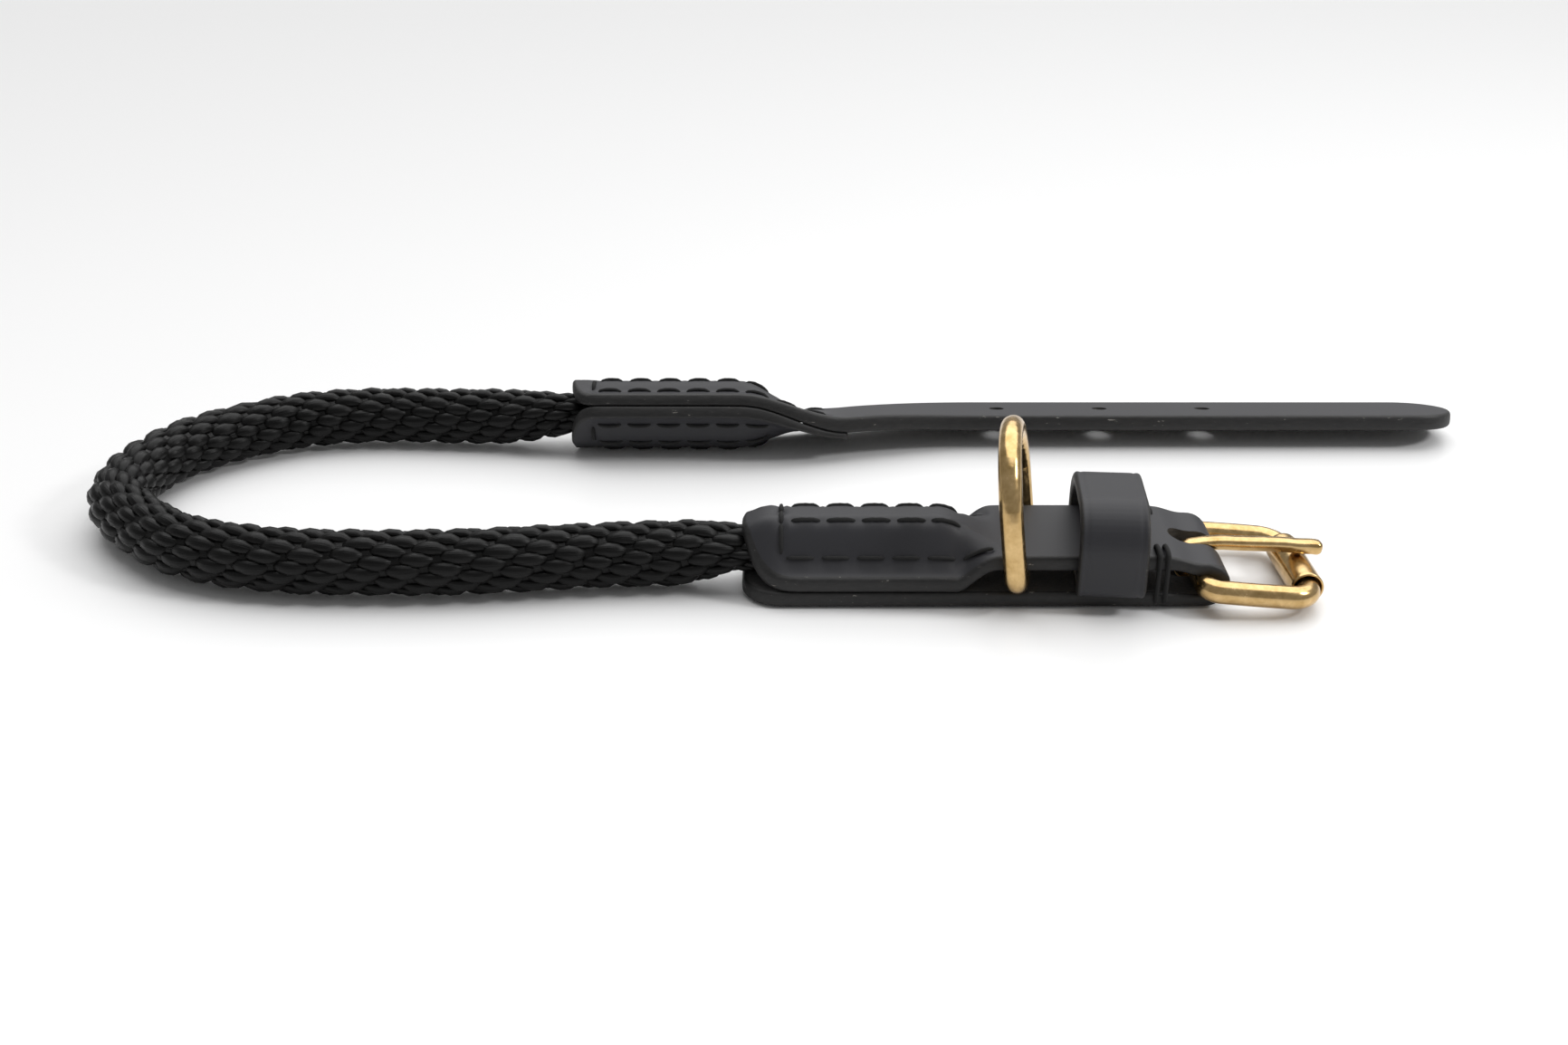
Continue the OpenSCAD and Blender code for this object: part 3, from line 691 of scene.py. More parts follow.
@dataclass(frozen=True)
class BuckleStrap:
    """The strap that folds round the buckle's heel bar, with its keeper loop."""

    reach: float = 50.0
    heel_x: float = 31.2
    heel_z: float = 4.45
    wire: float = 2.05
    fold_in: float = 2.15
    fold_out: float = 4.45
    ring_z: float = 5.25
    ring_flat: float = 4.65
    ramp: float = 11.0
    keeper_gap: float = 8.2
    keeper_len: float = 12.0
    keeper_t: float = 2.2
    keeper_top: float = 19.1
    keeper_yaw: float = -4.5
    fold_lean: float = 0.07
    slot_half: float = 2.3
    slot_back: float = 5.2
    row_start: float = -43.0

    @property
    def keeper_end(self) -> float:
        """Where the keeper's band ends."""
        return self.keeper_gap + self.keeper_len

    @property
    def fold_run(self) -> float:
        """How much strap goes round the heel bar, at its middle layer."""
        return np.pi * (self.fold_in + self.fold_out) / 2

    def crown(self, x: Array) -> Array:
        """Return the top layer's underside along its middle: over the rope, the ring's bar and the heel."""
        rope = STRAP.thick + STRAP.press_h + 0.1
        ring = self.ring_z + self.wire + 0.3
        bar = self.heel_z + self.fold_in
        z = mix(rope, ring, ease(x, -self.ring_flat - self.ramp, -self.ring_flat))
        return mix(z, bar, ease(x, self.keeper_end + 5, self.heel_x - 0.4))

    def under(self, x: Array, v: Array) -> Array:
        """Return the top layer's underside: the crown in the middle, down to the lower layer at the edges."""
        crown = self.crown(x)
        pressed = mix(STRAP.thick - 0.05, crown, rope_rise(v))
        return mix(pressed, crown, ease(x, -self.ring_flat - 0.7 * self.ramp, -self.ring_flat))

    def top(self, x: Array, v: Array) -> Array:
        """Return the top layer's grain face."""
        return self.under(x, v) + STRAP.thick

    def droop(self, x: Array) -> Array:
        """Return how far the top layer's end is pressed down over its last 6 mm."""
        return 1.9 * ease(-x, self.reach - 6.0, self.reach + 1.5) ** 1.3

    def front_stitches(self) -> Array:
        """Return the top layer's stitches, each as x, y of both ends."""
        edge, rope, pitch, long = STRAP.edge_row, STRAP.rope_row, STRAP.pitch, STRAP.stitch
        rows = [(-edge, 1, 6), (-rope, 2, 5), (rope, 2, 5), (edge, 1, 6)]
        starts = [(self.row_start + lead + k * pitch, y) for y, lead, count in rows for k in range(count)]
        along = [(x, y, x + long, y) for x, y in starts]
        step = 2 * edge / 4
        gaps = [(-edge + k * step + 0.4, -edge + (k + 1) * step - 0.4) for k in range(4)]
        cross = [(self.row_start, low, self.row_start, high) for low, high in gaps]
        return np.array(along + cross)

    def place(self, s: Array, v: Array, k: Array) -> Array:
        """Turn a place on the flat strap into a point.

        The strap runs along the table to the heel bar, round it on a half circle, and back over the keeper, the ring
        and the rope. Through its thickness a point goes from the inner face to the outer one.
        """
        bend, run = self.heel_x, self.fold_run
        plan_x = np.where(s < bend, s, 2 * bend + run - s)
        thin = mix(STRAP.thick, self.fold_out - self.fold_in, ease(plan_x, self.keeper_end + 1.5, bend - 2))
        low_z = (1 - k) * thin
        turn = np.pi * (np.clip((s - bend) / run, 0, 1) - 0.5)
        r = mix(self.fold_in, self.fold_out, k)
        fold_x, fold_z = self.heel_x + r * np.cos(turn), self.heel_z + r * np.sin(turn)
        high_x = 2 * bend + run - s
        sink = pucker(high_x, v, self.front_stitches(), 0.5) * k
        lean = self.fold_lean * v * ease(high_x, -15, -3)
        high_z = self.under(high_x, v) + k * thin - sink + lean - self.droop(high_x)
        fold_z = fold_z + self.fold_lean * v * 0.5 * (1 + np.sin(turn))
        x = np.where(s < bend, s, np.where(s < bend + run, fold_x, high_x))
        z = np.where(s < bend, low_z, np.where(s < bend + run, fold_z, high_z))
        return np.stack([x, v + 0 * x, z], axis=-1)

    def build_strap(self) -> bpy.types.Object:
        """Build the folded strap with the tongue's slot."""
        end = 2 * self.heel_x + self.fold_run + self.reach
        slot = (self.heel_x - self.slot_back, self.heel_x + self.fold_run + self.slot_back, self.slot_half)
        cut = StrapCut(-self.reach, end, STRAP.half, STRAP.corner, STRAP.corner + 2.6, (slot,), step=0.6)
        surface = Surface()
        cut.fill(surface, self.place, across=26)
        piece = surface.to_object("folded_strap", LEATHER, 50)
        place_piece(piece, "buckle_end", ["buckle_strap"])
        return piece

    def build_keeper(self) -> bpy.types.Object:
        """Build the keeper: a band with rounded edges and a creased line along each, carried round its loop."""
        half = STRAP.half + 0.6 + self.keeper_t / 2
        low, high = STRAP.thick + self.keeper_t / 2, self.keeper_top - self.keeper_t / 2
        small, large = 1.3, 6.9
        loop = rounded_loop(
            [
                (half - small, low + small, small, -90, 0),
                (half - large, high - large, large, 0, 90),
                (large - half, high - large, large, 90, 180),
                (small - half, low + small, small, 180, 270),
            ],
            0.6,
        )
        ring = np.concatenate([loop[-2:-1], loop, loop[1:2]])
        ahead = unit(ring[2:] - ring[:-2])
        out = np.stack([ahead[:, 1], -ahead[:, 0]], axis=1)
        wide, thick, round_off = self.keeper_len / 2, self.keeper_t / 2, 0.6
        face = np.linspace(-wide + round_off, wide - round_off, 34)
        arc = np.radians(np.linspace(90, -90, 9))[1:-1]
        crease = 0.1 * np.exp(-(((wide - 1.3 - np.abs(face)) / 0.28) ** 2))
        high_side = np.stack([face, thick - crease], axis=1)
        right = np.stack([wide - round_off + round_off * np.cos(arc), thick * np.sin(arc)], axis=1)
        under = np.stack([face[::-1], np.full(len(face), -thick)], axis=1)
        section = np.concatenate([high_side, right, under, -right, high_side[:1]])
        rise = section[None, :, 1, None] * out[:, None]
        along = np.broadcast_to(self.keeper_gap + wide + section[None, :, :1], rise.shape[:2] + (1,))
        grid = np.concatenate([along, loop[:, None] + rise], axis=-1)
        yaw, near = radians(self.keeper_yaw), np.array([self.keeper_gap, -half - self.keeper_t / 2])
        turn = np.array([[np.cos(yaw), np.sin(yaw)], [-np.sin(yaw), np.cos(yaw)]])
        grid = np.concatenate([(grid[..., :2] - near) @ turn + near, grid[..., 2:]], axis=-1)
        reach = np.concatenate([[0], np.cumsum(np.linalg.norm(np.diff(loop, axis=0), axis=1))])
        uv = np.stack(np.broadcast_arrays(reach[:, None], section[None, :, 0]), axis=-1)
        flats, rounds = len(face) - 1, len(right) + 1
        slots = np.array([0] * flats + [1] * rounds + [2] * flats + [1] * rounds)
        surface = Surface()
        surface.add(grid, uv, slots)
        piece = surface.to_object("keeper_band", LEATHER, 50)
        place_piece(piece, "buckle_end", ["keeper_loop"])
        return piece


# ---- Rear joint and billet ----------------------------------------------------------------------------------------


@dataclass(frozen=True)
class BilletEnd:
    """The billet strap with its holes, and the backing that grips the rope's rear end with it."""

    start: float = -87.5
    tip: float = 103.5
    backing_end: float = -29.0
    lip: float = 2.6
    backing_tip: float = 1.2
    rope_y: float = 65.0
    rope_z: float = 7.65
    rope_roll: float = 31.0
    flex_roll: float = 14.0
    flat_y: float = 73.6
    flat_roll: float = 12.0
    hole: float = 1.65
    first_hole: float = 4.2
    hole_pitch: float = 22.6
    hole_count: int = 3
    weld: float = 0.05
    gap: float = 0.1

    def roll(self, x: Array) -> Array:
        """Return how far the strap is rolled about its length, in radians."""
        held = mix(self.rope_roll, self.flex_roll, ease(x, -52, -28))
        return np.radians(mix(held, self.flat_roll, ease(x, -25, 0)))

    def point(self, x: Array, v: Array, h: Array) -> Array:
        """Turn a place along, across and above the strap's lower face into a point."""
        a = self.roll(x)
        y = mix(self.rope_y, self.flat_y, ease(x, -45, 0))
        held, flat = radians(self.rope_roll), radians(self.flat_roll)
        u = np.minimum(x, self.backing_end)
        b = self.roll(u)
        rise = self.rope_z - STRAP.half * np.sin(held) - self.lip * np.cos(held) - self.weld
        rest = STRAP.half * np.sin(b) + self.lower_thick(u) * np.cos(b) + self.weld
        low = rest + mix(rise, 0, ease(u, -60, self.backing_end))
        z = mix(low, STRAP.half * np.sin(flat) + self.weld, ease(x, self.backing_end, 0))
        return np.stack([x + 0 * v, y + v * np.cos(a) + h * np.sin(a), z - v * np.sin(a) + h * np.cos(a)], axis=-1)

    def lift(self, x: Array, v: Array) -> Array:
        """Return how far each layer bulges over the rope."""
        return mix((STRAP.press_h / 2 + self.gap) * rope_rise(v), 0, ease(x, -52, -39))

    def upper_thick(self, x: Array) -> Array:
        """Return the billet's thickness, skived thinner over the rope."""
        return mix(self.lip, STRAP.billet, ease(x, -49, -29))

    def lower_thick(self, x: Array) -> Array:
        """Return the backing's thickness with the gap above it."""
        return mix(self.lip, self.backing_tip, ease(x, -49, -29))

    def stitches(self) -> Array:
        """Return the rear rows' stitches, each as x, v of both ends."""
        edge, rope, pitch, first = STRAP.edge_row, STRAP.rope_row, STRAP.pitch, self.start + 6
        starts = [(first + k * pitch, v) for v in (-edge, -rope, rope, edge) for k in range(6)]
        ends = [(first + k * pitch, s * edge) for s in (-1, 1) for k in (6, 7)]
        rows, tails = ([(x, v, x + STRAP.stitch, v) for x, v in part] for part in (starts, ends))
        hooks = [(first - 1.2, s * (edge - 0.6), first - 1.2, s * (rope + 0.6)) for s in (-1, 1)]
        return np.array(rows + hooks + tails)

    def place_upper(self, x: Array, v: Array, k: Array) -> Array:
        """Place a point of the billet: its underside lifted over the rope, its thickness above that."""
        sink = pucker(x, v, self.stitches(), 0.45) * k
        return self.point(x, v, self.lift(x, v) + k * self.upper_thick(x) - sink)

    def place_lower(self, x: Array, v: Array, k: Array) -> Array:
        """Place a point of the backing: its grain face is the outer, lower one."""
        sink = pucker(x, v, self.stitches(), 0.45) * k
        return self.point(x, v, -self.lift(x, v) - self.gap - k * (self.lower_thick(x) - self.gap) + sink)

    def build_billet(self) -> bpy.types.Object:
        """Build the billet from its root over the rope to its round tip, bending where it leaves the rope."""
        middles = [self.first_hole + k * self.hole_pitch for k in range(self.hole_count)]
        holes = tuple((x - self.hole, x + self.hole, self.hole) for x in middles)
        cut = StrapCut(self.start, self.tip, STRAP.half, STRAP.corner, STRAP.half - 0.01, holes, step=0.7)
        surface = Surface()
        cut.fill(surface, self.place_upper, across=24)
        piece = surface.to_object("billet_leather", LEATHER, 50)
        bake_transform(piece)
        place_piece(piece, None, ["billet_root", "billet_strap"])
        return piece

    def build_backing(self) -> bpy.types.Object:
        """Build the backing under the rope's rear end."""
        cut = StrapCut(self.start, self.backing_end, STRAP.half, STRAP.corner, 0.8, step=0.7, bevel=0.45)
        surface = Surface()
        cut.fill(surface, self.place_lower, across=24)
        piece = surface.to_object("backing_leather", LEATHER, 50)
        place_piece(piece, "billet_end", ["billet_backing"])
        return piece


# ---- Thread -------------------------------------------------------------------------------------------------------


def spread(rows: Array) -> tuple[Array, Array]:
    """Return each stitch's first, last and middle place, along and across, each shaped (stitches, 3)."""
    first, last = rows[:, :2], rows[:, 2:]
    places = np.stack([first, last, (first + last) / 2], axis=1)
    return places[..., 0], places[..., 1]


@dataclass(frozen=True)
class Thread:
    """Saddle stitches of thick waxed thread."""

    radius: float = 0.38
    fold_radius: float = 0.45
    dive: float = 0.7
    spare: float = 0.3  # each end reaches this much past its hole
    rear_lift: float = 0.25

    def stitch(self, surface: Surface, ends: Array, normal: Array, middle: Array | None = None) -> None:
        """Add stitches that rise from one hole and dive into the next.

        Each stitch is a round thread whose ends sink below the leather. Its radius swells in the middle, and two
        plies wind round it.

        Args:
            surface: The mesh that takes them.
            ends: First and last points, shaped (stitches, 2, 3).
            normal: The leather's outward directions at each stitch, shaped (stitches, 3).
            middle: The points that the stitches' middles pass over, if the leather curves under them.
        """
        t = (0.5 - 0.5 * np.cos(np.linspace(0, np.pi, 13)))[None, :, None]
        first, last = ends[:, None, 0], ends[:, None, 1]
        reach = self.spare * unit(last - first)
        first, last = first - reach, last + reach
        centre = 0.5 * (first + last) if middle is None else middle[:, None]
        sag = centre - 0.5 * (first + last)
        rise = self.dive * (1 - (2 * t - 1) ** 4) - self.dive
        path = first + (last - first) * t + sag * (1 - (2 * t - 1) ** 2) + rise * normal[:, None]
        ahead = unit(np.gradient(path, axis=1))
        side = unit(np.cross(ahead, normal[:, None]))
        over = np.cross(side, ahead)
        turn = np.linspace(0, 2 * np.pi, 11)[None, None, :, None]
        length = np.linalg.norm(last - first, axis=-1)[..., None]
        swell = np.sqrt(np.maximum(1 - (2 * t - 1) ** 6, 0))[..., None]
        ply = 1 + 0.12 * np.cos(2 * turn + 2 * np.pi * 1.4 * t[..., None] * length[..., None] / 2.2)
        r = self.radius * swell * ply
        grid = path[:, :, None] + r * (np.cos(turn) * side[:, :, None] + np.sin(turn) * over[:, :, None])
        uv = np.stack(np.broadcast_arrays(t * length, turn[..., 0] * self.radius), axis=-1)
        surface.add(grid, np.broadcast_to(uv, grid.shape[:3] + (2,)))

    def build_front(self, strap: BuckleStrap) -> None:
        """Build the buckle end's rows and the thread that binds the layers beside the fold."""
        x, y = spread(strap.front_stitches())
        points = np.stack([x, y, strap.top(x, y)], axis=-1)
        slope_y = (strap.top(x[:, 2], y[:, 2] + 0.1) - strap.top(x[:, 2], y[:, 2] - 0.1)) / 0.2
        slope_x = (strap.top(x[:, 2] + 0.1, y[:, 2]) - strap.top(x[:, 2] - 0.1, y[:, 2])) / 0.2
        normal = unit(np.stack([-slope_x, -slope_y, np.ones_like(slope_x)], axis=1))
        surface = Surface()
        self.stitch(surface, points[:, :2], normal, points[:, 2])
        piece = surface.to_object("front_thread", [WaxedThread()], 80)
        nodes = [f"front_{row}_stitches" for row in ("near", "middle", "crest", "far", "cross")]
        place_piece(piece, "buckle_end", nodes)
        self.build_fold(strap)

    def build_fold(self, strap: BuckleStrap) -> None:
        """Build the two loops of thread over each edge between the keeper and the buckle."""
        surface = Surface()
        half = STRAP.half
        first = strap.keeper_end - 2 * half * np.sin(radians(strap.keeper_yaw)) + 0.9
        for side in (-1, 1):
            for x in (first, first + 1.5):
                top = float(strap.top(np.array(x), np.array(half))) + side * 0.2
                out = side * (half + 0.35)
                route = np.array(
                    [
                        [x, out - side * 0.6, 0.9],
                        [x, out, 1.8],
                        [x, out, top - 1.2],
                        [x, out - side * 0.35, top - 0.1],
                        [x, side * (half - 1.2), top + 0.32],
                        [x, side * (half - 3.2), top + 0.25],
                        [x, side * (half - 4.2), top - 0.7],
                    ]
                )
                path, _ = smooth_path(route, 0.35)
                swell = np.sqrt(np.clip(1 - np.abs(np.linspace(-1, 1, len(path))) ** 14, 0, 1))
                grid, uv = tube(path, self.fold_radius * swell, 10, False, (1.0, 0.0, 0.0))
                surface.add(grid, uv)
        piece = surface.to_object("fold_thread", [WaxedThread()], 80)
        place_piece(piece, "buckle_end", ["fold_stitches"])

    def build_rear(self, joint: BilletEnd) -> None:
        """Build the rear joint's rows on both layers."""
        rows = joint.stitches()
        x, v = spread(rows)
        one, tails = np.ones_like(x), 4
        surface = Surface()
        for place, count, sign in ((joint.place_upper, len(rows), 1), (joint.place_lower, len(rows) - tails, -1)):
            points = place(x, v, one)[:count]
            mid_x, mid_v, top = x[:, 2], v[:, 2], one[:, 2]
            across = place(mid_x, mid_v + 0.1, top) - place(mid_x, mid_v - 0.1, top)
            along = place(mid_x + 0.1, mid_v, top) - place(mid_x - 0.1, mid_v, top)
            normal = sign * unit(np.cross(along, across))[:count]
            lift = normal * self.rear_lift
            self.stitch(surface, points[:, :2] + lift[:, None], normal, points[:, 2] + lift)
        piece = surface.to_object("rear_thread", [WaxedThread()], 80)
        nodes = [f"rear_{row}_stitches" for row in ("upper", "lower", "hook", "end")]
        place_piece(piece, "billet_end", nodes)


# ---- Brass --------------------------------------------------------------------------------------------------------


@dataclass(frozen=True)
class Brass:
    """The D-ring, the buckle's frame, its tongue and its roller."""

    wire: float = 2.05
    ring_z: float = 5.25
    ring_half: float = 13.05
    ring_h: float = 24.0
    ring_corner: float = 3.0
    ring_yaw: float = -10.0
    ring_lean: float = -7.0
    heel_x: float = 31.2
    heel_z: float = 4.45
    frame_len: float = 18.4
    frame_half: float = 12.4
    heel_corner: float = 2.3
    outer_corner: float = 4.0
    tilt: float = 4.68
    roller_r: float = 2.9
    roller_in: float = 2.45
    roller_len: float = 17.2
    tongue_w: float = 3.0
    tongue_t: float = 2.6
    loop_r: float = 4.23

    def frame_point(self, a: Array, b: Array, c: Array) -> Array:
        """Turn a place in the frame's own plane into a point, tilted about the heel bar."""
        t = radians(self.tilt)
        x = self.heel_x + a * np.cos(t) + c * np.sin(t)
        z = self.heel_z - a * np.sin(t) + c * np.cos(t)
        return np.stack([x, b + 0 * a, z], axis=-1)

    def build_ring(self) -> None:
        """Build the D-ring: a straight bar, two small corners, two sides and a half circle, of one wire."""
        c, r = self.ring_half, self.ring_corner
        outline = rounded_loop([(c - r, r, r, -90, 0), (0, self.ring_h - c, c, 0, 180), (r - c, r, r, 180, 270)], 0.7)
        lean, yaw = radians(self.ring_lean), radians(self.ring_yaw)
        a, b = outline[:, 0], outline[:, 1]
        x, z = b * np.sin(lean), b * np.cos(lean)
        plan = [x * np.cos(yaw) - a * np.sin(yaw), x * np.sin(yaw) + a * np.cos(yaw)]
        path = np.stack([*plan, z + self.ring_z], axis=1)
        face = np.array([np.cos(lean) * np.cos(yaw), np.cos(lean) * np.sin(yaw), -np.sin(lean)])
        grid, uv = tube(path, self.wire, 28, True, tuple(face))
        surface = Surface()
        surface.add(grid, uv)
        piece = surface.to_object("dee_wire", [PolishedBrass()])
        place_piece(piece, "dee", ["dee_ring"])

    def build_frame(self) -> None:
        """Build the buckle's frame of one bent wire, its sides bowed out a little."""
        c, h, o, far = self.frame_half, self.heel_corner, self.outer_corner, self.frame_len
        heel_arcs = (h, h - c, h, 180, 270), (h, c - h, h, 90, 180)
        outer_arcs = [(far - o, o - c, o, -90, 0), (far - o, c - o, o, 0, 90)]
        outline = rounded_loop([heel_arcs[0], *outer_arcs, heel_arcs[1]], 0.6)
        a, b = outline[:, 0], outline[:, 1]
        bow = 0.25 * np.sin(np.pi * np.clip(a / far, 0, 1)) * ease(np.abs(b), c - 3, c - 0.5)
        path = self.frame_point(a, b + np.sign(b) * bow, 0 * a)
        t = radians(self.tilt)
        grid, uv = tube(path, self.wire, 28, True, (float(np.sin(t)), 0.0, float(np.cos(t))))
        surface = Surface()
        surface.add(grid, uv)
        piece = surface.to_object("frame_wire", [PolishedBrass()])
        place_piece(piece, "frame", ["buckle_frame"])

    def build_roller(self) -> None:
        """Build the roller: sheet brass curled into a tube, with rounded lips and the seam where its edges meet."""
        half, lip = self.roller_len / 2, (self.roller_r - self.roller_in) / 2
        mean = self.roller_r - lip
        arc = np.radians(np.linspace(90, -90, 7))[1:-1]
        run = np.linspace(-half + lip, half - lip, 30)
        outer = np.stack([run, np.full(len(run), lip)], axis=1)
        right = np.stack([half - lip + lip * np.cos(arc), lip * np.sin(arc)], axis=1)
        inner = np.stack([run[::-1], np.full(len(run), -lip)], axis=1)
        section = np.concatenate([outer, right, inner, -right, outer[:1]])
        turn = np.radians(np.linspace(-86, 266, 72))
        r = mean + section[None, :, 1]
        a, c = self.frame_len + r * np.cos(turn)[:, None], r * np.sin(turn)[:, None]
        grid = self.frame_point(a, np.broadcast_to(section[None, :, 0], a.shape), c)
        uv = np.stack(np.broadcast_arrays(mean * turn[:, None], section[None, :, 0]), axis=-1)
        surface = Surface()
        surface.add(grid, uv)
        n, m = len(run), len(right)
        for row in (0, -1):
            seam = np.stack([grid[row, :n], grid[row, n + m : 2 * n + m][::-1]])
            surface.add(seam, np.zeros(seam.shape[:2] + (2,)))
            for first in (n - 1, 2 * n + m - 1):
                lip_ring = grid[row, first : first + m + 2]
                tip = np.stack([lip_ring, lip_ring[::-1]])[:, : (m + 3) // 2]
                surface.add(tip, np.zeros(tip.shape[:2] + (2,)))
        piece = surface.to_object("roller_tube", [PolishedBrass(name="polished_brass_tube", rough=(0.16, 0.27))])
        place_piece(piece, "roller", ["buckle_roller"])

    def build_tongue(self) -> None:
        """Build the tongue: flat-sided rod, thinned and curled round the heel bar, its tip bent to the roller."""
        roll_x = self.frame_len * np.cos(radians(self.tilt))
        roll_z = -self.frame_len * np.sin(radians(self.tilt))
        rest = roll_z + self.roller_r + 0.1 + self.tongue_t / 2
        mean = (self.wire + 0.08 + self.loop_r) / 2
        turns = 30
        curl = np.radians(np.linspace(415, 100, turns))
        loop = np.stack([mean * np.cos(curl), mean * np.sin(curl)], axis=1)
        top = self.loop_r - self.tongue_t / 2
        shank = np.array(
            [
                [2.2, top + 0.45], [5, top + 0.55], [8, top + 0.4], [roll_x - 3, rest + 0.3],
                [roll_x, rest], [roll_x + 2.6, rest - 0.12], [roll_x + 4.6, rest - 0.42],
            ]
        )
        line = np.concatenate([loop, shank])
        share = np.concatenate([np.linspace(0, 1, turns), np.full(len(shank), 1.0)])
        at_loop = np.full(turns, self.loop_r - self.wire - 0.1)
        thick = mix(0.75, 1.0, share**2) * np.concatenate([at_loop, np.linspace(2.3, self.tongue_t, len(shank))])
        wide = mix(1.7, self.tongue_w, ease(share, 0.1, 1.0))
        path, marks = smooth_path(np.column_stack([line[:, 0], 0 * share, line[:, 1], thick, wide]), 0.45)
        ahead = unit(np.gradient(path[:, :3], axis=0))
        over = np.stack([-ahead[:, 2], 0 * marks, ahead[:, 0]], axis=1)
        near_end = np.minimum(marks / 0.8, (marks[-1] - marks) / 1.25)
        cap = np.sqrt(np.clip(1 - (1 - np.clip(near_end, 0, 1)) ** 2, 0, 1))
        turn = np.linspace(0, 2 * np.pi, 25)
        side_u, over_u = (np.sign(wave) * np.abs(wave) ** 0.72 for wave in (np.cos(turn), np.sin(turn)))
        a = (path[:, 4] / 2 * cap)[:, None, None] * side_u[None, :, None] * np.array([0.0, 1.0, 0.0])
        b = (path[:, 3] / 2 * cap)[:, None, None] * over_u[None, :, None] * over[:, None]
        grid = path[:, None, :3] + a + b + np.array([self.heel_x, 0, self.heel_z])
        uv = np.stack(np.broadcast_arrays(marks[:, None], turn[None] * 1.4), axis=-1)
        surface = Surface()
        surface.add(grid, uv)
        piece = surface.to_object("tongue_rod", [PolishedBrass()], 60)
        place_piece(piece, "tongue", ["buckle_tongue"])


# ---- Rope ---------------------------------------------------------------------------------------------------------


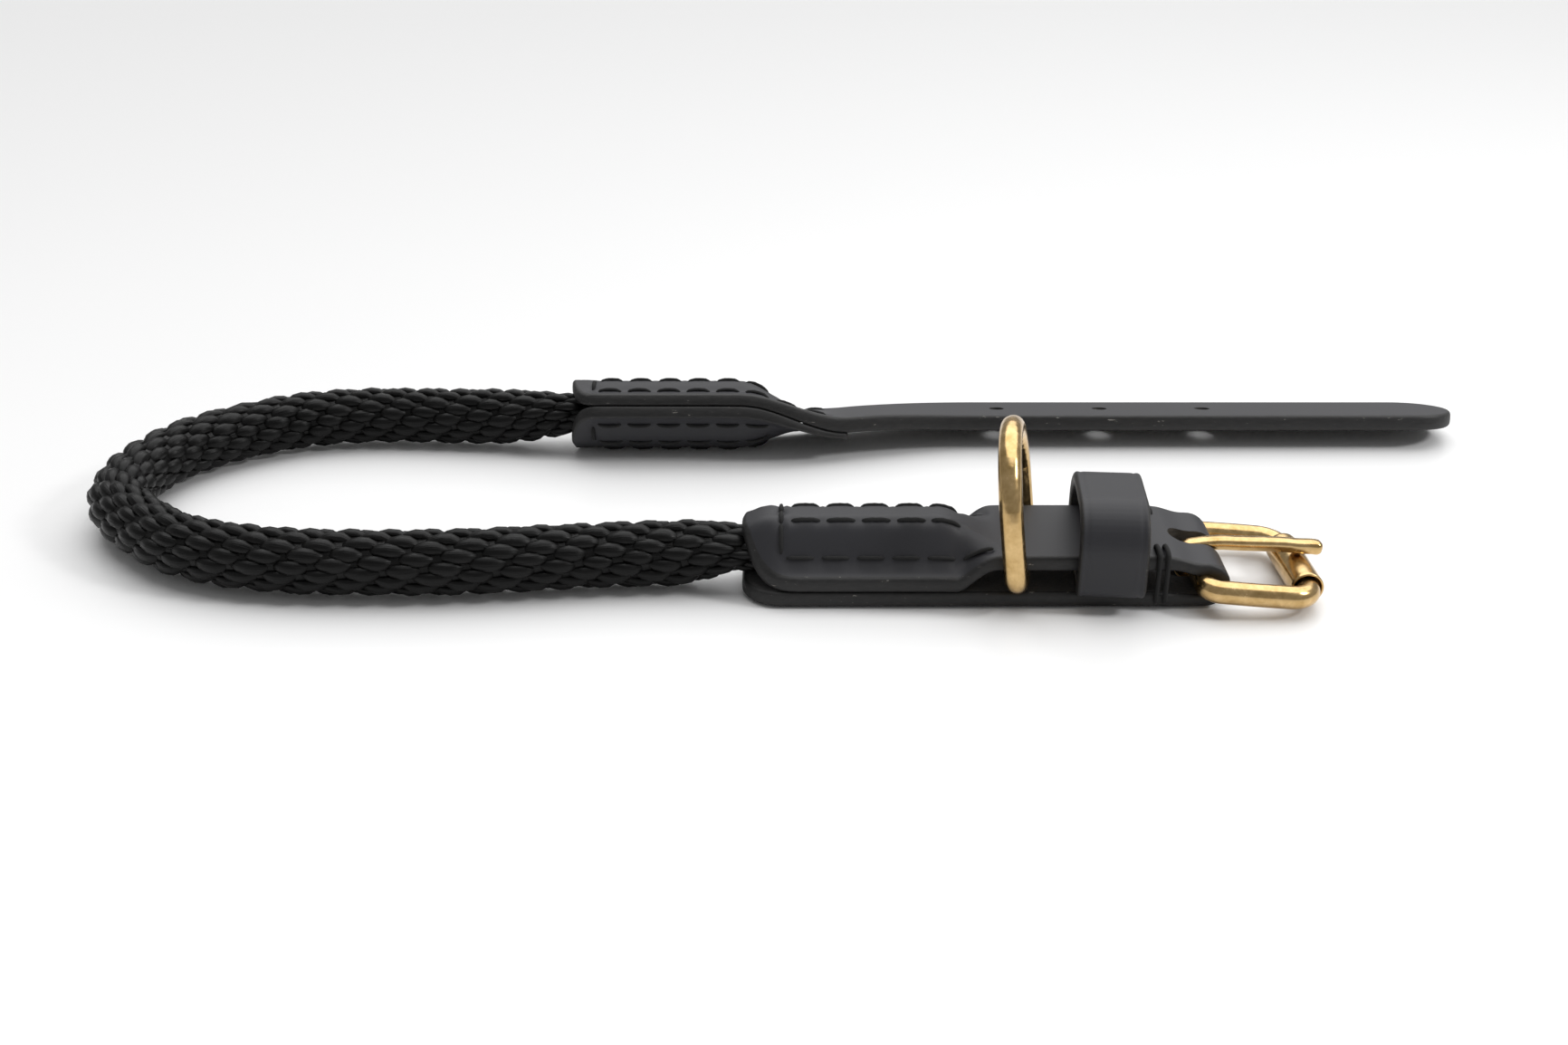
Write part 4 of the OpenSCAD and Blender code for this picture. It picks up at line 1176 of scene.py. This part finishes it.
@dataclass(frozen=True)
class Rope:
    """The braided rope, from its pressed end in the buckle strap round the bend to its pressed end in the billet."""

    diameter: float = 12.2
    pitch: float = 7.14
    rows: int = 16
    shift: int = 5
    twist: float = 0.1033  # radians that a row climbs in one pitch
    float_len: float = 8.9
    float_half: float = 1.72
    float_thick: float = 1.05
    dive: float = 2.2
    slant: float = 0.03
    front: tuple[tuple[float, ...], ...] = (
        (-8, 0, 5.7, 4.8, 2.8, 0), (-14, 0, 7, 5.6, 4.2, 0), (-30, 0, 7, 5.6, 4.2, 0), (-47, 0, 7, 5.6, 4.2, 0),
        (-52, -0.1, 7, 5.8, 4.5, 0), (-57, -0.3, 6.7, 5.9, 5.7, 0), (-63, -0.5, 6.1, 6.1, 6.1, 0),
    )
    bend: tuple[tuple[float, float], ...] = (
        (-76, -1.3), (-89, -2.9), (-102, -4.2), (-114, -4.4), (-127, -4), (-140, -1.8), (-152, 3), (-161.5, 11),
        (-168.5, 19.5), (-171, 28), (-170.5, 38.5), (-166.5, 48.5), (-159.5, 56.5), (-152, 62), (-144, 66),
        (-130, 68.4), (-114, 67.8),
    )
    rear: tuple[tuple[float, ...], ...] = (
        (-102, 66.6, 6.5, 6.1, 6.1, 10), (-93, 65.8, 7.2, 5.9, 5.2, 24), (-87, 65.2, 7.65, 5.7, 4.4, 31),
        (-80, 65, 7.65, 5.6, 4.2, 31), (-62, 65, 7.65, 5.6, 4.2, 31), (-52, 65, 7.55, 5.6, 4.1, 31),
        (-45, 65.1, 7.0, 4.4, 2, 27.5),
    )

    def route(self) -> Array:
        """Return the route's points: place, half width, half height and roll."""
        radius = self.diameter / 2
        middle = [(x, y, radius, radius, radius, 0) for x, y in self.bend]
        return np.array(list(self.front) + middle + list(self.rear), dtype=float)

    def place(self, table: Array, marks: Array, s: Array, angle: Array, depth: Array) -> Array:
        """Turn a distance along, an angle round and a depth below the crowns into a point.

        The point is the centre line's, plus the half width less the depth times the cosine along the rope's flat
        side, plus the half height less the depth times the sine along its other side.
        """
        at = np.stack([np.interp(s, marks, column) for column in table.T], axis=-1)
        centre, flat, high = at[..., :3], at[..., 3], at[..., 4]
        roll, ahead = np.radians(at[..., 5]), unit(at[..., 6:9])
        side = unit(np.cross(ahead, [0.0, 0.0, 1.0]))
        over = np.cross(side, ahead)
        wide = side * np.cos(roll)[..., None] + over * np.sin(roll)[..., None]
        tall = over * np.cos(roll)[..., None] - side * np.sin(roll)[..., None]
        out_w = np.maximum(flat - depth, 0.3 * flat) * np.cos(angle)
        out_h = np.maximum(high - depth, 0.3 * high) * np.sin(angle)
        return centre + wide * out_w[..., None] + tall * out_h[..., None]

    def lay_core(self, surface: Surface, table: Array, marks: Array) -> None:
        """Add the closed core that fills the rope below its yarns.

        Args:
            surface: The mesh that takes it.
            table: The route's values at each mark, with the direction ahead.
            marks: The marks' distances from the start.
        """
        rings, sides, inset, total = 300, 33, 1.25, marks[-1]
        s = np.linspace(0, total, rings)[:, None]
        turn = np.linspace(0, 2 * np.pi, sides)[None]
        core = self.place(table, marks, s + 0 * turn, turn + 0 * s, np.full((rings, sides), inset))
        first, last = (np.broadcast_to(end.mean(axis=0), (1, sides, 3)) for end in (core[0], core[-1]))
        closed = np.concatenate([first, core, last])
        uv = np.stack(np.broadcast_arrays(np.linspace(0, total, rings + 2)[:, None], turn * 5.0), axis=-1)
        surface.add(closed, uv)

    def lay_yarns(self, surface: Surface, table: Array, marks: Array) -> None:
        """Add every stretch of yarn that shows on the rope, in rows that climb round it.

        Each is a flat pad with round ends. Its middle lies on top, and its ends dive under the next ones: the depth
        grows with the 2.1th power of the distance from its highest place.

        Args:
            surface: The mesh that takes them.
            table: The route's values at each mark, with the direction ahead.
            marks: The marks' distances from the start.
        """
        total, end_gap, radius = marks[-1], 2.5, self.diameter / 2
        steps = np.arange(-10, int(total / self.pitch) + 10)
        i, j = np.meshgrid(steps, np.arange(self.rows), indexing="ij")
        middle = (i * self.pitch + j * self.shift * self.pitch / self.rows).ravel()
        angle = (i * self.twist + j * (2 * np.pi + self.shift * self.twist) / self.rows).ravel()
        keep = (middle > end_gap) & (middle < total - end_gap)
        middle, angle = middle[keep], angle[keep]
        jitter = np.random.default_rng(16).normal(0, 1, (5, len(middle)))
        peak = mix(0.38, 0.56, middle / total)[:, None]
        u = (0.5 - 0.5 * np.cos(np.linspace(0, np.pi, 9)))[None]
        bent = u ** (np.log(0.5) / np.log(peak))
        off = np.where(u < peak, (u - peak) / peak, (u - peak) / (1 - peak))
        ends = np.abs(2 * bent - 1)
        half = self.float_half * (1 + 0.05 * jitter[0])[:, None] * np.maximum(1 - ends**2.6, 0) ** 0.5
        thick = self.float_thick * np.maximum(1 - ends**4, 0) ** 0.5
        sink = self.float_thick + self.dive * np.abs(off) ** 2.1 + (0.06 * np.abs(jitter[1]))[:, None]
        length = self.float_len * (1 + 0.03 * jitter[2])[:, None]
        tilt = self.slant + 0.03 * jitter[3][:, None]
        turn = np.linspace(0, 2 * np.pi, 11)[None, None]
        dome = np.where(np.sin(turn) > 0, np.sin(turn), 0.5 * np.sin(turn))
        along = length * (u - 0.5)
        across = half[..., None] * np.cos(turn)
        s = np.clip(middle[:, None, None] + along[..., None] + tilt[..., None] * across, 0.0, total)
        sway = across - (tilt * along)[..., None] + (0.1 * jitter[4])[:, None, None]
        around = angle[:, None, None] + sway / radius
        depth = sink[..., None] - thick[..., None] * dome
        grid = self.place(table, marks, s, around + 0 * depth, depth + 0 * s)
        shift_u, shift_v = middle[:, None, None] * 3.7, angle[:, None, None] * 40  # so that no two yarns look alike
        uv = np.stack(np.broadcast_arrays(along[..., None] + shift_u, across + shift_v), axis=-1)
        surface.add(grid, uv)

    def build(self) -> None:
        """Build the core and every yarn that shows on the rope, as one piece."""
        path, marks = smooth_path(self.route(), 0.5)
        table = np.concatenate([path, np.gradient(path[:, :3], axis=0)], axis=1)
        surface = Surface()
        self.lay_core(surface, table, marks)
        self.lay_yarns(surface, table, marks)
        piece = surface.to_object("braid", [BraidedYarn()], 80)
        place_piece(piece, None, ["rope_buckle_half", "rope_billet_half"])
        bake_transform(piece)


# ---- Studio -------------------------------------------------------------------------------------------------------


class LampKind(Enum):
    """The two kinds of soft light: a square panel of a size in metres, and a wide sky of an angle in degrees."""

    PANEL = "AREA"
    SKY = "SUN"


@dataclass(frozen=True)
class Lamp:
    """A soft light that points at the collar's middle."""

    name: str
    kind: LampKind
    place: tuple[float, float, float]
    size: float
    power: float

    def build(self, aim: Array) -> None:
        """Hang the lamp and turn it to the collar."""
        data = bpy.data.lights.new(self.name, self.kind.value)
        data.energy = self.power
        if self.kind is LampKind.PANEL:
            data.shape, data.size = "SQUARE", self.size
        else:
            data.angle = radians(self.size)
        made = bpy.data.objects.new(self.name, data)
        bpy.context.scene.collection.objects.link(made)
        made.location = self.place
        view = np.asarray(aim) - np.asarray(self.place)
        made.rotation_euler = Vector(view).to_track_quat("-Z", "Y").to_euler()


@dataclass(frozen=True)
class Studio:
    """The table, the lights and the camera."""

    eye: tuple[float, float, float] = (-0.0425, -0.2722, 0.1367)
    pitch: float = 24.64
    lens: float = 38.58
    aim: tuple[float, float, float] = (-0.04, 0.03, 0.01)
    room: float = 0.32
    lamps: tuple[Lamp, ...] = (
        Lamp("key_light", LampKind.PANEL, (0.60, -0.10, 0.50), 0.14, 1.9),
        Lamp("sky_light", LampKind.SKY, (0.10, 0.45, 0.90), 80.0, 2.5),
    )

    def build_camera(self) -> None:
        """Set the camera."""
        data = bpy.data.cameras.new("camera")
        data.sensor_fit, data.sensor_width, data.lens = "HORIZONTAL", 36.0, self.lens
        data.clip_start = 0.01
        made = bpy.data.objects.new("camera", data)
        bpy.context.scene.collection.objects.link(made)
        made.location = self.eye
        made.rotation_euler = (radians(90 - self.pitch), 0.0, 0.0)
        bpy.context.scene.camera = made

    def build(self) -> None:
        """Lay the table, hang the lamps and light the room."""
        low = CAD_BOX[0][2]
        surface = Surface()
        reach, gap = 4000.0, 0.05
        x, y = np.meshgrid(np.linspace(-reach, reach, 3), np.linspace(-reach, reach, 3), indexing="ij")
        surface.add(np.stack([x, y, np.full_like(x, low / MM - gap)], axis=-1), np.stack([x, y], axis=-1))
        table = surface.to_object("table", [StudioTable()])
        for lamp in self.lamps:
            lamp.build(np.array(self.aim))
        world = bpy.data.worlds.new("room")
        world.use_nodes = True
        sky = world.node_tree.nodes["Background"]
        set_inputs(world.node_tree, sky, {"Color": linear("#ffffff"), "Strength": self.room})
        bpy.context.scene.world = world
        bpy.context.scene.view_settings.view_transform = "Standard"


def main() -> None:
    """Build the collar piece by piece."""
    logging.basicConfig(level=logging.INFO, format="%(name)s %(message)s")
    studio = Studio()
    studio.build_camera()
    Rope().build()
    strap, joint, thread, brass = BuckleStrap(), BilletEnd(), Thread(), Brass()
    strap.build_strap()
    strap.build_keeper()
    joint.build_billet()
    joint.build_backing()
    thread.build_front(strap)
    thread.build_rear(joint)
    brass.build_ring()
    brass.build_frame()
    brass.build_tongue()
    brass.build_roller()
    studio.build()


if __name__ == "__main__":
    main()
